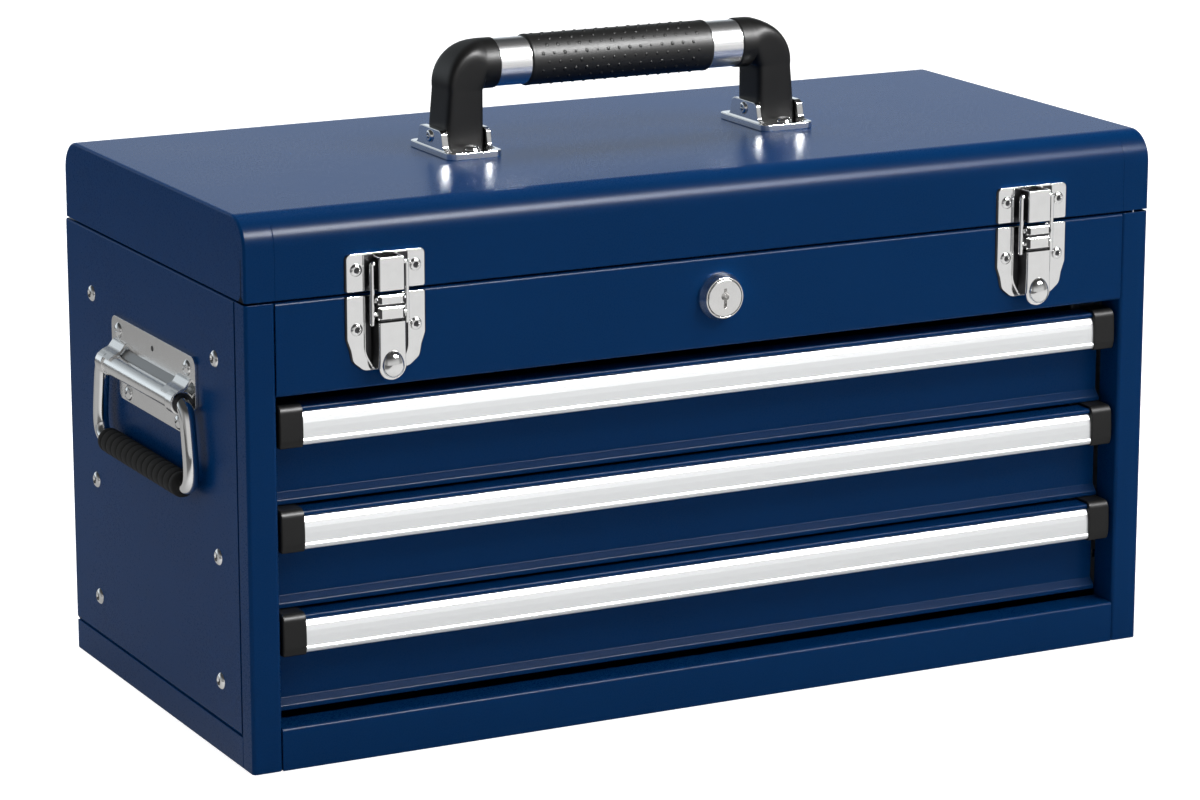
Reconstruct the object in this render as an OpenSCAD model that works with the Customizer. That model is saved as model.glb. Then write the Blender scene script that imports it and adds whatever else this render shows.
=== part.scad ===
// Portable steel tool box: three drawers under a lidded till, two draw latches, a cam lock,
// a rigid top handle and a folding handle on each side.
// Frame: X to the right along the front, Y to the back, Z up, origin at the middle of the base.

/* [Box] */
// Width of the box along the front
box_w = 520; // [440:1:620]
// Depth of the box, front to back
box_d = 245; // [235:1:300]
// Height of the body up to the lid seam
body_h = 237; // [237:1:250]
// Height of the closed lid above the seam
lid_h = 41.3; // [40:0.1:60]
// Gap between the body and the lid
seam_gap = 1.2; // [0.8:0.1:2]
// Thickness of the steel sheet
sheet = 1; // [0.8:0.1:1]
// Outer radius of the lid's front and back edges
lid_round = 16; // [10:1:20]

/* [Front frame] */
// Width of a front post
post_w = 16; // [14:1:20]
// How far a post wraps round onto the side
post_wrap = 12.7; // [10:0.1:16]
// How far the frame's inner edges fold back
return_depth = 18; // [16:1:20]
// Height of the rail under the drawers
rail_h = 22; // [18:1:24]
// Height of the panel that holds the lock
lock_panel_h = 47; // [44:1:50]
// Height of the bottom pan's side strip
pan_strip_h = 16; // [12:1:18]

/* [Drawers] */
// Number of drawers
drawer_count = 3; // [3:3]
// Underside of the lowest drawer
drawer_base = 26.7; // [25:0.1:28]
// Distance from one drawer to the next
drawer_pitch = 52.8; // [52:0.1:53]
// Width of a drawer front
front_w = 482; // [402:1:582]
// Width of a drawer tray
tray_w = 462; // [382:1:562]
// How far a drawer face sits behind the front of the box
face_recess = 17; // [15:1:18]
// Height of the aluminium pull bar
bar_h = 16.8; // [14:0.1:18]
// How far the bar stands out from the drawer face
bar_depth = 15; // [12:0.1:15.5]

/* [Latches and lock] */
// Distance of each latch from the middle
latch_x = 186; // [140:1:200]
// Width of a latch plate
latch_w = 42.4; // [36:0.1:48]
// Diameter of the lock's barrel
lock_barrel_d = 19; // [18:0.1:20]
// Diameter of the lock's bezel
bezel_d = 25; // [24:0.1:26]

/* [Handles] */
// Distance of each top handle leg from the middle
leg_x = 92; // [80:0.1:110]
// Front to back place of the top handle
handle_y = -5; // [-10:1:10]
// Height of the handle tube's centre above the lid
handle_rise = 45; // [42:0.5:60]
// Diameter of the handle tube
tube_d = 25; // [24:0.1:26]
// Length of the rubber grip
grip_len = 107; // [90:1:112]
// Length of a side handle's barrel
side_barrel_len = 106; // [96:1:112]

/* [Hidden] */
$fn = 48;

paint = "#123a78";
steel = "#c9ccd0";
alloy = "#dfe1e4";
black = "#1d1d1f";

half_w = box_w / 2;
half_d = box_d / 2;
front = -half_d;
box_h = body_h + seam_gap + lid_h;
half_sheet = sheet / 2;
bend_r = 1.6;
bend_steps = 4;
running = 0.05;

// ---- flat helpers ------------------------------------------------------------------------------

function unit(v) = v / norm(v);
function heading(v) = atan2(v.y, v.x);

// The arc that rounds the corner b of the line a-b-c: [centre, entry point, exit point]
function corner(a, b, c, r) =
    let (u = unit(a - b), v = unit(c - b), half = acos(u * v) / 2)
    [b + unit(u + v) * r / sin(half), b + u * r / tan(half), b + v * r / tan(half)];

// The angle an arc turns through, between -180 and 180
function turn(from, to) = let (t = to - from) t > 180 ? t - 360 : t < -180 ? t + 360 : t;

function arc_points(k, r) =
    let (a = heading(k[1] - k[0]), t = turn(a, heading(k[2] - k[0])))
    [for (i = [0:bend_steps]) k[0] + r * [cos(a + t * i / bend_steps), sin(a + t * i / bend_steps)]];

// A line whose inner corners are rounded, as a sheet's are where it is folded
function bent_line(p, r) = [
    p[0],
    for (i = [1:len(p) - 2]) each arc_points(corner(p[i - 1], p[i], p[i + 1], r), r),
    p[len(p) - 1]];

function side_of(v) = [-v.y, v.x];

function mitre(p, i) =
    let (n = len(p) - 1,
         a = side_of(unit(p[max(i, 1)] - p[max(i, 1) - 1])),
         b = side_of(unit(p[min(i, n - 1) + 1] - p[min(i, n - 1)])))
    (a + b) / (1 + a * b);

// The closed outline of a sheet that follows a line, half its thickness on each side
function sheet_outline(p, t) = [
    for (i = [0:len(p) - 1]) p[i] + mitre(p, i) * t / 2,
    for (i = [len(p) - 1:-1:0]) p[i] - mitre(p, i) * t / 2];

module folded(points, t = sheet, r = bend_r) { polygon(sheet_outline(bent_line(points, r), t)); }

// A flat shape drawn in Y and Z and pulled along X, in X and Z along Y, and in X and Y along Z
module along_x(x0, x1) { translate([x0, 0, 0]) rotate([90, 0, 90]) linear_extrude(x1 - x0) children(); }
module along_y(y0, y1) { translate([0, y1, 0]) rotate([90, 0, 0]) linear_extrude(y1 - y0) children(); }
module along_z(z0, z1) { translate([0, 0, z0]) linear_extrude(z1 - z0) children(); }

module rod_x(r, x0, x1, y, z) { translate([x0, y, z]) rotate([0, 90, 0]) cylinder(r = r, h = x1 - x0); }
module rod_y(r, y0, y1, x, z) { translate([x, y0, z]) rotate([-90, 0, 0]) cylinder(r = r, h = y1 - y0); }

module block(low, high) { translate(low) cube(high - low); }

// A rectangle centred on the origin with true round corners
module rounded(w, d, r) {
    square([w - 2 * r, d], center = true);
    square([w, d - 2 * r], center = true);
    for (x = [-1, 1], y = [-1, 1]) translate([x * (w / 2 - r), y * (d / 2 - r)]) circle(r);
}

module on_side(s) { mirror([s < 0 ? 1 : 0, 0, 0]) children(); }
module both_sides() {
    children();
    mirror([1, 0, 0]) children();
}
module both_sides_y() {
    children();
    mirror([0, 1, 0]) children();
}

// A round wire that follows a flat line of points, with a true bend at each inner corner
module wire(points, bend, r) {
    last = len(points) - 1;
    for (i = [0:last - 1]) {
        start = i == 0 ? points[0] : corner(points[i - 1], points[i], points[i + 1], bend)[2];
        stop = i == last - 1 ? points[last] : corner(points[i], points[i + 1], points[i + 2], bend)[1];
        translate([start.x, start.y, 0]) rotate([0, 90, heading(stop - start)])
            cylinder(r = r, h = norm(stop - start));
    }
    for (i = [1:last - 1]) {
        k = corner(points[i - 1], points[i], points[i + 1], bend);
        a = heading(k[1] - k[0]);
        t = turn(a, heading(k[2] - k[0]));
        translate([k[0].x, k[0].y, 0]) rotate([0, 0, t > 0 ? a : a + t])
            rotate_extrude(angle = abs(t)) translate([bend, 0]) circle(r);
    }
}

// ---- case: pan, panels and frame ------------------------------------------------------------------

post_inner = half_w - post_w;
wrap_y = front + post_wrap;
frame_gap = 0.1;
// How far the tongue of a side panel, welded behind the post, reaches back past the post's edge
tongue = 6;
pan_flange = 12;
panel_z0 = body_h - lock_panel_h;

module bottom_pan() {
    notch_y = front + return_depth + frame_gap;
    front_y = front + sheet + frame_gap;
    back_y = half_d - sheet - frame_gap;
    floor_x = half_w - sheet;
    color(paint) union() {
        along_z(0, sheet) polygon([
            [-post_inner + frame_gap, front_y], [post_inner - frame_gap, front_y],
            [post_inner - frame_gap, notch_y], [floor_x, notch_y], [floor_x, back_y],
            [-floor_x, back_y], [-floor_x, notch_y], [-post_inner + frame_gap, notch_y]]);
        both_sides() block([floor_x, wrap_y + frame_gap, 0], [half_w, half_d, pan_strip_h]);
        block([-floor_x + 4, back_y - sheet, 0], [floor_x - 4, back_y, pan_flange]);
    }
}

// Places of the blind rivets on a side, as [Y, Z]: the upper pair holds the till, the rest the uprights
rivet_front_y = -83;
rivet_back_y = 86.3;
till_rivet_z = 203.1;
upright_rivet_z = [102.3, 38.1];
rivet_r = 2.4;
side_screw_r = 2.2;
side_handle_y = -3;
side_handle_z = 175.4;
side_plate_z = [156.5, 198.7];
side_screws = [for (p = [[47.2, 191.9], [34.6, 161.4]], s = [1, -1]) [side_handle_y + s * p.x, p.y]];
// Where a side panel steps in to pass behind the pan's strip
joggle_z = pan_strip_h + 2.2;

module rivet_holes(zs, x0, x1) {
    for (y = [rivet_front_y, rivet_back_y], z = zs) rod_x(rivet_r, x0, x1, y, z);
}

module side_panel(s) {
    joggle = sheet + frame_gap;
    outer = half_w - half_sheet;
    color(paint) on_side(s) difference() {
        union() {
            along_y(wrap_y + frame_gap, half_d) folded([
                [outer - 9, body_h - half_sheet], [outer, body_h - half_sheet], [outer, joggle_z],
                [outer - joggle, joggle_z - 2], [outer - joggle, 3]], r = 0.7);
            block([half_w - 2 * sheet, front + sheet + 1, joggle_z + 2],
                  [half_w - sheet, wrap_y + tongue, body_h - 3]);
        }
        rivet_holes([each upright_rivet_z, till_rivet_z], half_w - 5, half_w + 5);
        for (p = side_screws) rod_x(side_screw_r, half_w - 5, half_w + 5, p.x, p.y);
    }
}

module back_panel() {
    inner_x = half_w - 2 * sheet - frame_gap;
    y = half_d - half_sheet;
    color(paint) union() {
        along_z(sheet + frame_gap, body_h - 2) folded([
            [-inner_x + half_sheet, half_d - 14], [-inner_x + half_sheet, y],
            [inner_x - half_sheet, y], [inner_x - half_sheet, half_d - 14]]);
        along_x(-inner_x + 12, inner_x - 12) folded([
            [half_d - 9, body_h - half_sheet], [y, body_h - half_sheet], [y, body_h - 10]]);
        both_sides() block([inner_x - 3, half_d - sheet, pan_strip_h + 1], [half_w - sheet, half_d, body_h - 2]);
    }
}

module post(s) {
    outer = half_w - half_sheet;
    inner = post_inner + half_sheet;
    face = front + half_sheet;
    color(paint) on_side(s) along_z(0, body_h) folded([
        [outer, wrap_y], [outer, face], [inner, face], [inner, front + return_depth]]);
}

module bottom_rail() {
    face = front + half_sheet;
    top = rail_h - half_sheet;
    low = sheet + frame_gap + half_sheet;
    x = post_inner - frame_gap;
    color(paint) union() {
        along_x(-x, x) folded([[front + return_depth, top - 6], [front + return_depth, top],
            [face, top], [face, low], [front + 12, low]]);
        block([-x, front, 0], [x, front + sheet, low + bend_r]);
    }
}

lock_x = 0;
lock_z = 216.5;

module lock_panel() {
    face = front + half_sheet;
    x = post_inner - frame_gap;
    color(paint) difference() {
        along_x(-x, x) folded([[front + 10, body_h - half_sheet], [face, body_h - half_sheet],
            [face, panel_z0 + half_sheet], [front + return_depth + 8, panel_z0 + half_sheet]]);
        rod_y(lock_barrel_d / 2, front - 1, front + 3, lock_x, lock_z);
        for (s = [-1, 1], p = latch_base_rivets) rod_y(latch_rivet_r, front - 1, front + 3, s * latch_x + p.x, p.y);
    }
}

till_y0 = wrap_y + tongue + frame_gap;
till_lip = 22;

module till_tray() {
    x = half_w - 1.5 * sheet - frame_gap;
    z = panel_z0 - half_sheet;
    color(paint) difference() {
        along_y(till_y0, half_d - 15) folded([[-x, z + till_lip], [-x, z], [x, z], [x, z + till_lip]]);
        both_sides() rivet_holes([till_rivet_z], half_w - 6, half_w + 1);
    }
}

// ---- drawer slides --------------------------------------------------------------------------------

rail_wall_x = post_inner - 0.6;
rail_len = box_d - 31;
rail_y0 = front + 21;
rail_half_h = 10;
upright_flange = 8;
slide_play = 0.4;
slide_z = 24;
tray_top = 46;

function drawer_z(i) = drawer_base + i * drawer_pitch;

module slide_upright(y, side) {
    outer = half_w - sheet - half_sheet - frame_gap;
    inner = rail_wall_x + half_sheet;
    difference() {
        along_z(joggle_z + 1, panel_z0 - sheet - 1) folded([
            [outer, y - side * upright_flange], [outer, y + side * upright_flange],
            [inner, y + side * upright_flange], [inner, y + side * 3 * upright_flange]]);
        rivet_holes(upright_rivet_z, half_w - 6, half_w);
    }
}

module slide_uprights() {
    color(steel) both_sides() {
        slide_upright(rivet_front_y, 1);
        slide_upright(rivet_back_y, -1);
    }
}

// Each rail is a C channel that holds a drawer's runner; its front end stands behind the post
module slide_rails() {
    web = rail_wall_x - half_sheet;
    color(steel) both_sides() for (i = [0:drawer_count - 1]) {
        z = drawer_z(i) + slide_z;
        h = rail_half_h - half_sheet;
        along_y(rail_y0, rail_y0 + rail_len) folded([
            [web - 7.5, z + h], [web, z + h], [web, z - h], [web - 7.5, z - h]], r = 0.8);
    }
}

module drawer_runners(i) {
    web = rail_wall_x - sheet - slide_play - half_sheet;
    h = rail_half_h - sheet - slide_play - half_sheet;
    z = drawer_z(i) + slide_z;
    color(steel) both_sides() along_y(rail_y0, rail_y0 + rail_len - 6) folded([
        [tray_w / 2, z + h], [web, z + h], [web, z - h], [tray_w / 2, z - h]], r = 0.8);
}

// ---- drawers --------------------------------------------------------------------------------------

face_y = front + face_recess;
face_h = 51;
tray_back = half_d - 11;
bar_z = 31.5;
cap_len = 13;
cap_reach = half_w - 17.6;

module drawer_tray(i) {
    x = tray_w / 2;
    y0 = face_y + sheet;
    z0 = drawer_z(i) + 1.6;
    color(paint) difference() {
        block([-x, y0, z0], [x, tray_back, drawer_z(i) + tray_top]);
        block([-x + sheet, y0 + sheet, z0 + sheet], [x - sheet, tray_back - sheet, drawer_z(i) + tray_top + 1]);
    }
}

// The face folds forward into a shelf over the bar at the top and slopes out to a lip at the bottom
module drawer_front(i) {
    y = face_y + half_sheet;
    shelf = 12.5;
    z = drawer_z(i);
    color(paint) along_x(-front_w / 2, front_w / 2) folded([
        [y - shelf, z + bar_z + bar_h + 0.3], [y - shelf, z + face_h - half_sheet],
        [y, z + face_h - half_sheet], [y, z + 5.5], [y - 3.5, z + 2], [y - 3.5, z]], r = 0.9);
}

// Outline of the pull bar in [distance out from the face, height], from its back edge over the top
bar_wall = 1.6;
bar_line = [[0.1, bar_h - 0.8], [8.5, bar_h - 0.8], [bar_depth - 2.2, bar_h - 4], [bar_depth - 0.8, bar_h / 2],
    [bar_depth - 1.6, 2.6], [bar_depth - 4, 0.8], [bar_depth - 8, 0.8]];

function out_from_face(p, z) = [face_y - p.x, z + bar_z + p.y];

module drawer_bar(i) {
    color(alloy) along_x(-cap_reach + cap_len, cap_reach - cap_len)
        folded([for (p = bar_line) out_from_face(p, drawer_z(i))], t = bar_wall, r = 1.9);
}

cap_line = [[0, -0.6], [0, bar_h + 0.2], [9, bar_h + 0.2], [bar_depth - 1.2, bar_h - 3.2],
    [bar_depth + 0.4, bar_h / 2], [bar_depth - 0.5, 1.4], [bar_depth - 3, -0.6]];

module drawer_caps(i) {
    color(black) both_sides() along_x(cap_reach - cap_len, cap_reach)
        polygon([for (p = cap_line) out_from_face(p, drawer_z(i))]);
}

// ---- lid ------------------------------------------------------------------------------------------

lid_z0 = body_h + seam_gap;
round_steps = 10;

// The lid's side outline, inset by d, from the front lower corner over the top to the back
function lid_outline(d) =
    let (r = lid_round - d, y = half_d - lid_round, z = box_h - lid_round)
    [[front + d, lid_z0],
     for (i = [0:round_steps]) [-y - r * cos(90 * i / round_steps), z + r * sin(90 * i / round_steps)],
     for (i = [0:round_steps]) [y + r * sin(90 * i / round_steps), z + r * cos(90 * i / round_steps)],
     [half_d - d, lid_z0]];

module lid_band(outer, inner) {
    inside = lid_outline(inner);
    polygon([each lid_outline(outer), for (i = [len(inside) - 1:-1:0]) inside[i]]);
}

module lid_shell() {
    x = half_w - sheet;
    color(paint) difference() {
        union() {
            along_x(-x, x) lid_band(0, sheet);
            block([-x + 12, front + half_sheet, lid_z0], [x - 12, front + 8, lid_z0 + sheet]);
        }
        for (s = [-1, 1], p = keeper_rivets_at) rod_y(latch_rivet_r, front - 1, front + 3, s * latch_x + p.x, p.y);
        for (s = [-1, 1], y = foot_screws_y)
            translate([s * leg_x, y, box_h - 4]) cylinder(r = foot_screw_r, h = 8);
    }
}

module lid_end(s) {
    lip = 9;
    color(paint) on_side(s) union() {
        along_x(half_w - sheet, half_w) polygon(lid_outline(0));
        along_x(half_w - lip, half_w - sheet) lid_band(sheet, 2 * sheet);
    }
}

// ---- hinge ----------------------------------------------------------------------------------------

knuckle_r = 2.7;
hinge_pin_r = 1.45;
hinge_y = half_d + knuckle_r;
hinge_z = body_h + seam_gap / 2;
knuckles = 14;
hinge_w = box_w - 16;
leaf_h = 19;
knuckle_gap = 0.3;

// One leaf of the piano hinge; side is 1 for the lid's leaf and -1 for the body's
module hinge_leaf(side, odd) {
    pitch = hinge_w / knuckles;
    color(steel) difference() {
        union() {
            along_x(-hinge_w / 2, hinge_w / 2) polygon([
                [half_d, hinge_z + side * 3.4], [half_d + sheet, hinge_z + side * 3.4],
                [half_d + sheet, hinge_z + side * leaf_h], [half_d, hinge_z + side * leaf_h]]);
            for (k = [odd:2:knuckles - 1]) {
                x0 = -hinge_w / 2 + k * pitch + knuckle_gap / 2;
                x1 = x0 + pitch - knuckle_gap;
                rod_x(knuckle_r, x0, x1, hinge_y, hinge_z);
                along_x(x0, x1) polygon([[half_d, hinge_z], [half_d + sheet, hinge_z],
                    [half_d + sheet, hinge_z + side * 4], [half_d, hinge_z + side * 4]]);
            }
        }
        rod_x(hinge_pin_r + running, -half_w, half_w, hinge_y, hinge_z);
    }
}

module hinge_pin() {
    color(steel) rod_x(hinge_pin_r, -hinge_w / 2 - 0.5, hinge_w / 2 + 0.5, hinge_y, hinge_z);
}

// ---- latches: out is the distance in front of the box -----------------------------------------------

latch_plate_t = 1.2;
latch_rivet_r = 1.9;
latch_base_rivets = [[-15.6, 220.5], [15.6, 220.5]];
keeper_rivets_at = [[-15.6, 250], [15.6, 250]];
pivot_out = 5.8;
pivot_z = 234.4;
link_out = 5.4;
link_z = 227.6;
latch_pin_r = 1.5;
bail_wire_r = 1.3;
lug_r = 2.9;
lug_x0 = 3.3;
knuckle_x = 3;
keeper_box_x = 7.3;
keeper_box_out = 8.8;
keeper_z = [lid_z0 + 0.6, 258.5];
lever_x = 7.2;
lever_out = 9.3;
lever_tip_z = 193.5;

// A latch piece drawn in X and Z about the latch's middle, between two distances out from the front
module plate_out(out0, out1) { along_y(front - out1, front - out0) children(); }
module latch_at(s) { translate([s * latch_x, 0, 0]) children(); }
module rod_at(r, x0, x1, out, z) { rod_x(r, x0, x1, front - out, z); }

base_half = latch_w / 2;
// Half outline of the base plate: wide at the top, drawn in by an S curve to a rounded foot
base_side = [[base_half, body_h - 0.6], [base_half, 216.5], [base_half - 2.2, 212.5], [base_half - 4.4, 209.5],
    [base_half - 5.6, 204], [base_half - 8.5, 200.6], [base_half - 12, 199.5]];

module latch_base(s) {
    color(steel) latch_at(s) difference() {
        union() {
            plate_out(0, latch_plate_t) polygon([each base_side,
                for (i = [len(base_side) - 1:-1:0]) [-base_side[i].x, base_side[i].y]]);
            both_sides() {
                rod_at(lug_r, lug_x0, keeper_box_x - 0.2, pivot_out, pivot_z);
                block([lug_x0, front - pivot_out, pivot_z - lug_r + 0.01],
                      [keeper_box_x - 0.2, front - latch_plate_t / 2, pivot_z + 1.9]);
            }
        }
        rod_at(latch_pin_r, -10, 10, pivot_out, pivot_z);
        for (p = latch_base_rivets) rod_y(latch_rivet_r, front - 3, front + 1, p.x, p.y);
    }
}

module latch_pins() {
    color(steel) for (s = [-1, 1]) latch_at(s)
        rod_at(latch_pin_r, -keeper_box_x + 0.2, keeper_box_x - 0.2, pivot_out, pivot_z);
}

module latch_keepers() {
    color(steel) for (s = [-1, 1]) latch_at(s) difference() {
        union() {
            plate_out(0, latch_plate_t) translate([0, (keeper_z[0] + keeper_z[1]) / 2])
                rounded(latch_w, keeper_z[1] - keeper_z[0], 2.5);
            plate_out(latch_plate_t / 2, keeper_box_out) translate([-keeper_box_x, 240.4]) square([2 * keeper_box_x, 16.6]);
        }
        plate_out(latch_plate_t, keeper_box_out - 1.3) translate([-keeper_box_x + 1.3, 241.7])
            square([2 * keeper_box_x - 2.6, 20]);
        for (p = keeper_rivets_at) rod_y(latch_rivet_r, front - 3, front + 1, p.x, p.y);
    }
}

module latch_lever(s) {
    face_t = 1.4;
    top = pivot_z - 3.2;
    block_z0 = top - 7.2;
    tip_z = lever_tip_z + lever_x;
    color(steel) latch_at(s) difference() {
        union() {
            rod_at(lug_r - 0.1, -knuckle_x, knuckle_x, pivot_out, pivot_z);
            block([-knuckle_x, front - pivot_out - 2.6, top - 1], [knuckle_x, front - pivot_out + 2.2, pivot_z]);
            block([-lever_x, front - lever_out, block_z0], [lever_x, front - 3, top]);
            plate_out(lever_out - face_t, lever_out) union() {
                translate([-lever_x, tip_z]) square([2 * lever_x, block_z0 - tip_z + 1]);
                translate([0, tip_z]) circle(lever_x);
            }
            both_sides() block([lever_x - face_t, front - lever_out + 0.2, tip_z + 2],
                               [lever_x, front - latch_plate_t - 0.3, block_z0 + 1]);
            intersection() {
                translate([0, front - lever_out + 3, tip_z + 0.5]) sphere(7);
                plate_out(lever_out - face_t / 2, lever_out + 5) translate([-8, tip_z - 8]) square([16, 17]);
            }
        }
        rod_at(latch_pin_r + running, -10, 10, pivot_out, pivot_z);
        rod_at(bail_wire_r + running, -10, 10, link_out, link_z);
    }
}

// The bail is one wire: across through the lever, up on each side of the keeper and in again at the top
module latch_bail(s) {
    rod = 9.4;
    top = 253;
    tip = keeper_box_x + 0.3;
    color(steel) latch_at(s) translate([0, front - link_out, link_z]) rotate([90, 0, 0])
        wire([[-tip, top - link_z], [-rod, top - link_z], [-rod, 0], [rod, 0],
              [rod, top - link_z], [tip, top - link_z]], 1.7, bail_wire_r);
}

// A domed rivet on the front of the box, its shank through the plate and the sheet
module front_rivet(x, z) {
    translate([x, front - latch_plate_t, z]) rotate([90, 0, 0]) rotate_extrude()
        polygon([[1.1, 0.2], [1.4, 1.1], [2.2, 1.1], [3.1, 0.6], [3.3, 0], [latch_rivet_r, 0],
                 [latch_rivet_r, -latch_plate_t - sheet], [0, -latch_plate_t - sheet], [0, 0.2]]);
}

module keeper_rivets() {
    color(steel) for (s = [-1, 1], p = keeper_rivets_at) front_rivet(s * latch_x + p.x, p.y);
}

// Blind rivets: twelve in the two sides and four in the latch bases
module case_rivets() {
    color(steel) {
        both_sides() for (y = [rivet_front_y, rivet_back_y], z = [each upright_rivet_z, till_rivet_z])
            translate([half_w, y, z]) rotate([0, 90, 0]) rotate_extrude()
                polygon([[0, 0.4], [1.3, 0.4], [1.6, 1.4], [2.8, 1.3], [4, 0.7], [4.4, 0], [rivet_r, 0],
                         [rivet_r, -2 * sheet - frame_gap], [0, -2 * sheet - frame_gap]]);
        for (s = [-1, 1], p = latch_base_rivets) front_rivet(s * latch_x + p.x, p.y);
    }
}

// ---- lock -----------------------------------------------------------------------------------------

plug_r = 6;
plug_face_r = 9.5;
bezel_out = 6;
housing_back = front + 18;
cam_t = 2;
cam_reach = 19;
cam_half = 5.5;

module lock_housing() {
    barrel_r = lock_barrel_d / 2;
    color(steel) translate([lock_x, front, lock_z]) rotate([90, 0, 0]) rotate_extrude()
        polygon([[plug_r + running, -18], [barrel_r, -18], [barrel_r, 0], [bezel_d / 2, 0], [bezel_d / 2, 1.6],
                 [bezel_d / 2 - 0.8, 2.4], [plug_face_r + 1.2, bezel_out], [plug_face_r + 0.3, bezel_out],
                 [plug_face_r + 0.3, 3], [plug_r + running, 3]]);
}

module lock_nut() {
    color(steel) difference() {
        translate([lock_x, front + sheet, lock_z]) rotate([-90, 0, 0]) cylinder(r = 13.6, h = 4, $fn = 6);
        rod_y(lock_barrel_d / 2, front, front + 6, lock_x, lock_z);
    }
}

// The plug turns in the housing; its face carries a bare upright keyway
module lock_plug() {
    color(steel) difference() {
        translate([lock_x, front, lock_z]) rotate([90, 0, 0]) rotate_extrude()
            polygon([[0, -18.4], [plug_r, -18.4], [plug_r, 3.2], [plug_face_r, 3.2], [plug_face_r, 5.6],
                     [plug_face_r - 0.8, 6.4], [0, 6.4]]);
        rod_y(1.9, front - 7, front - 2.4, lock_x, lock_z + 1.2);
        block([lock_x - 0.9, front - 7, lock_z - 4.4], [lock_x + 0.9, front - 2.4, lock_z + 1]);
    }
}

// The cam points up when the lock is open and turns over the strike's foot to lock; a screw holds it
module lock_cam() {
    y0 = housing_back + 0.4;
    color(steel) {
        along_y(y0, y0 + cam_t) translate([lock_x, lock_z]) difference() {
            union() {
                circle(7.5);
                translate([-cam_half, 0]) square([2 * cam_half, cam_reach - cam_half]);
                translate([0, cam_reach - cam_half]) circle(cam_half);
            }
            circle(2);
        }
        translate([lock_x, y0, lock_z]) rotate([-90, 0, 0]) union() {
            cylinder(r = 2, h = cam_t);
            translate([0, 0, cam_t]) cylinder(r = 4, h = 2.4);
        }
    }
}

// A hooked bracket inside the lid: its foot lies under the cam when the cam is turned level
module lock_strike() {
    y0 = housing_back + 0.2;
    y1 = y0 + 2.4;
    x0 = lock_x + cam_reach + 1.2;
    x1 = x0 + 10;
    foot_z = lock_z - cam_half - 1;
    color(steel) union() {
        block([x0, y0, foot_z - 5], [x1, y1, 246]);
        block([lock_x + 12, y0, foot_z - 5], [x1, y1, foot_z]);
        block([x0, front + sheet, 244.5], [x1, y1, 246]);
        block([x0, front + sheet, 241], [x1, front + sheet + 1.5, 254]);
    }
}

// ---- top handle -----------------------------------------------------------------------------------

foot_t = 3.6;
foot_size = [31, 51];
leg_size = [22, 25];
foot_top = box_h + foot_t;
tube_z = box_h + handle_rise;
foot_screw_r = 2.5;
foot_screws_y = [handle_y - 19.5, handle_y + 19.5];
elbow_end = 71.2;
elbow_r = 13.2;
elbow_bend = 12.5;
socket_depth = leg_x - elbow_bend + 0.5 - elbow_end;
// Thickness of the ear on each side of a leg: towards the middle of the box and towards its end
ear_t = [2.6, 3.6];
ear_h = 10;
ear_screw_z = foot_top + 5.6;
ear_screw_r = 1.8;
// Half outline of an ear, which flows out into the foot at its lower end
ear_side = [[-18.6, foot_top - 0.8], [-18.2, foot_top + 0.2], [-15.6, foot_top + 0.9], [-14.4, foot_top + 3],
    [-13.3, foot_top + ear_h - 1.8], [-11.6, foot_top + ear_h]];

module handle_feet() {
    ear_x = leg_size.x / 2;
    ear = [each ear_side, for (i = [len(ear_side) - 1:-1:0]) [-ear_side[i].x, ear_side[i].y]];
    color(steel) both_sides() translate([leg_x, handle_y, 0]) difference() {
        union() {
            along_z(box_h, foot_top) rounded(foot_size.x, foot_size.y, 5);
            along_x(-ear_x - ear_t[0], -ear_x) polygon(ear);
            along_x(ear_x, ear_x + ear_t[1]) polygon(ear);
        }
        for (y = foot_screws_y) translate([0, y - handle_y, box_h - 1]) cylinder(r = foot_screw_r, h = foot_t + 2);
        rod_x(ear_screw_r, -20, 20, 0, ear_screw_z);
    }
}

// Pan head screws: two down through each foot, one across through each pair of ears
module handle_screws() {
    low = -leg_size.x / 2 - ear_t[0];
    high = leg_size.x / 2 + ear_t[1];
    end = box_h - 1.9;
    color(steel) both_sides() translate([leg_x, 0, 0]) {
        for (y = foot_screws_y) translate([0, y, 0]) rotate_extrude()
            polygon([[0, end], [foot_screw_r, end], [foot_screw_r, foot_top], [4.4, foot_top],
                     [4.2, foot_top + 1.6], [3.2, foot_top + 2.6], [0, foot_top + 3]]);
        translate([0, handle_y, ear_screw_z]) rotate([0, 90, 0]) rotate_extrude()
            polygon([[0, low - 1.4], [3, low - 1.4], [3.4, low], [ear_screw_r, low],
                     [ear_screw_r, high], [3.4, high], [3, high + 1.4], [0, high + 1.4]]);
    }
}

// A moulded elbow: a rounded leg that stands on the foot, a bend, and a round socket for the tube
module handle_elbow(s) {
    bend_x = leg_x - elbow_bend;
    bend_z = tube_z - elbow_bend;
    color(black) on_side(s) translate([0, handle_y, 0]) difference() {
        union() {
            along_z(foot_top, bend_z) translate([leg_x, 0]) rounded(leg_size.x, leg_size.y, 5);
            translate([bend_x, 0, bend_z]) rotate([90, 0, 0]) rotate_extrude(angle = 90)
                translate([elbow_bend, 0]) rounded(leg_size.x, leg_size.y, 6);
            rod_x(elbow_r, elbow_end, bend_x + 2.5, 0, tube_z);
        }
        rod_x(tube_d / 2, elbow_end - 1, elbow_end + socket_depth, 0, tube_z);
        rod_x(ear_screw_r, leg_x - 20, leg_x + 20, 0, ear_screw_z);
    }
}

module handle_tube() {
    x = elbow_end + socket_depth;
    color(alloy) difference() {
        rod_x(tube_d / 2, -x, x, handle_y, tube_z);
        rod_x(tube_d / 2 - 1.5, -x - 1, x + 1, handle_y, tube_z);
    }
}

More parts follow.
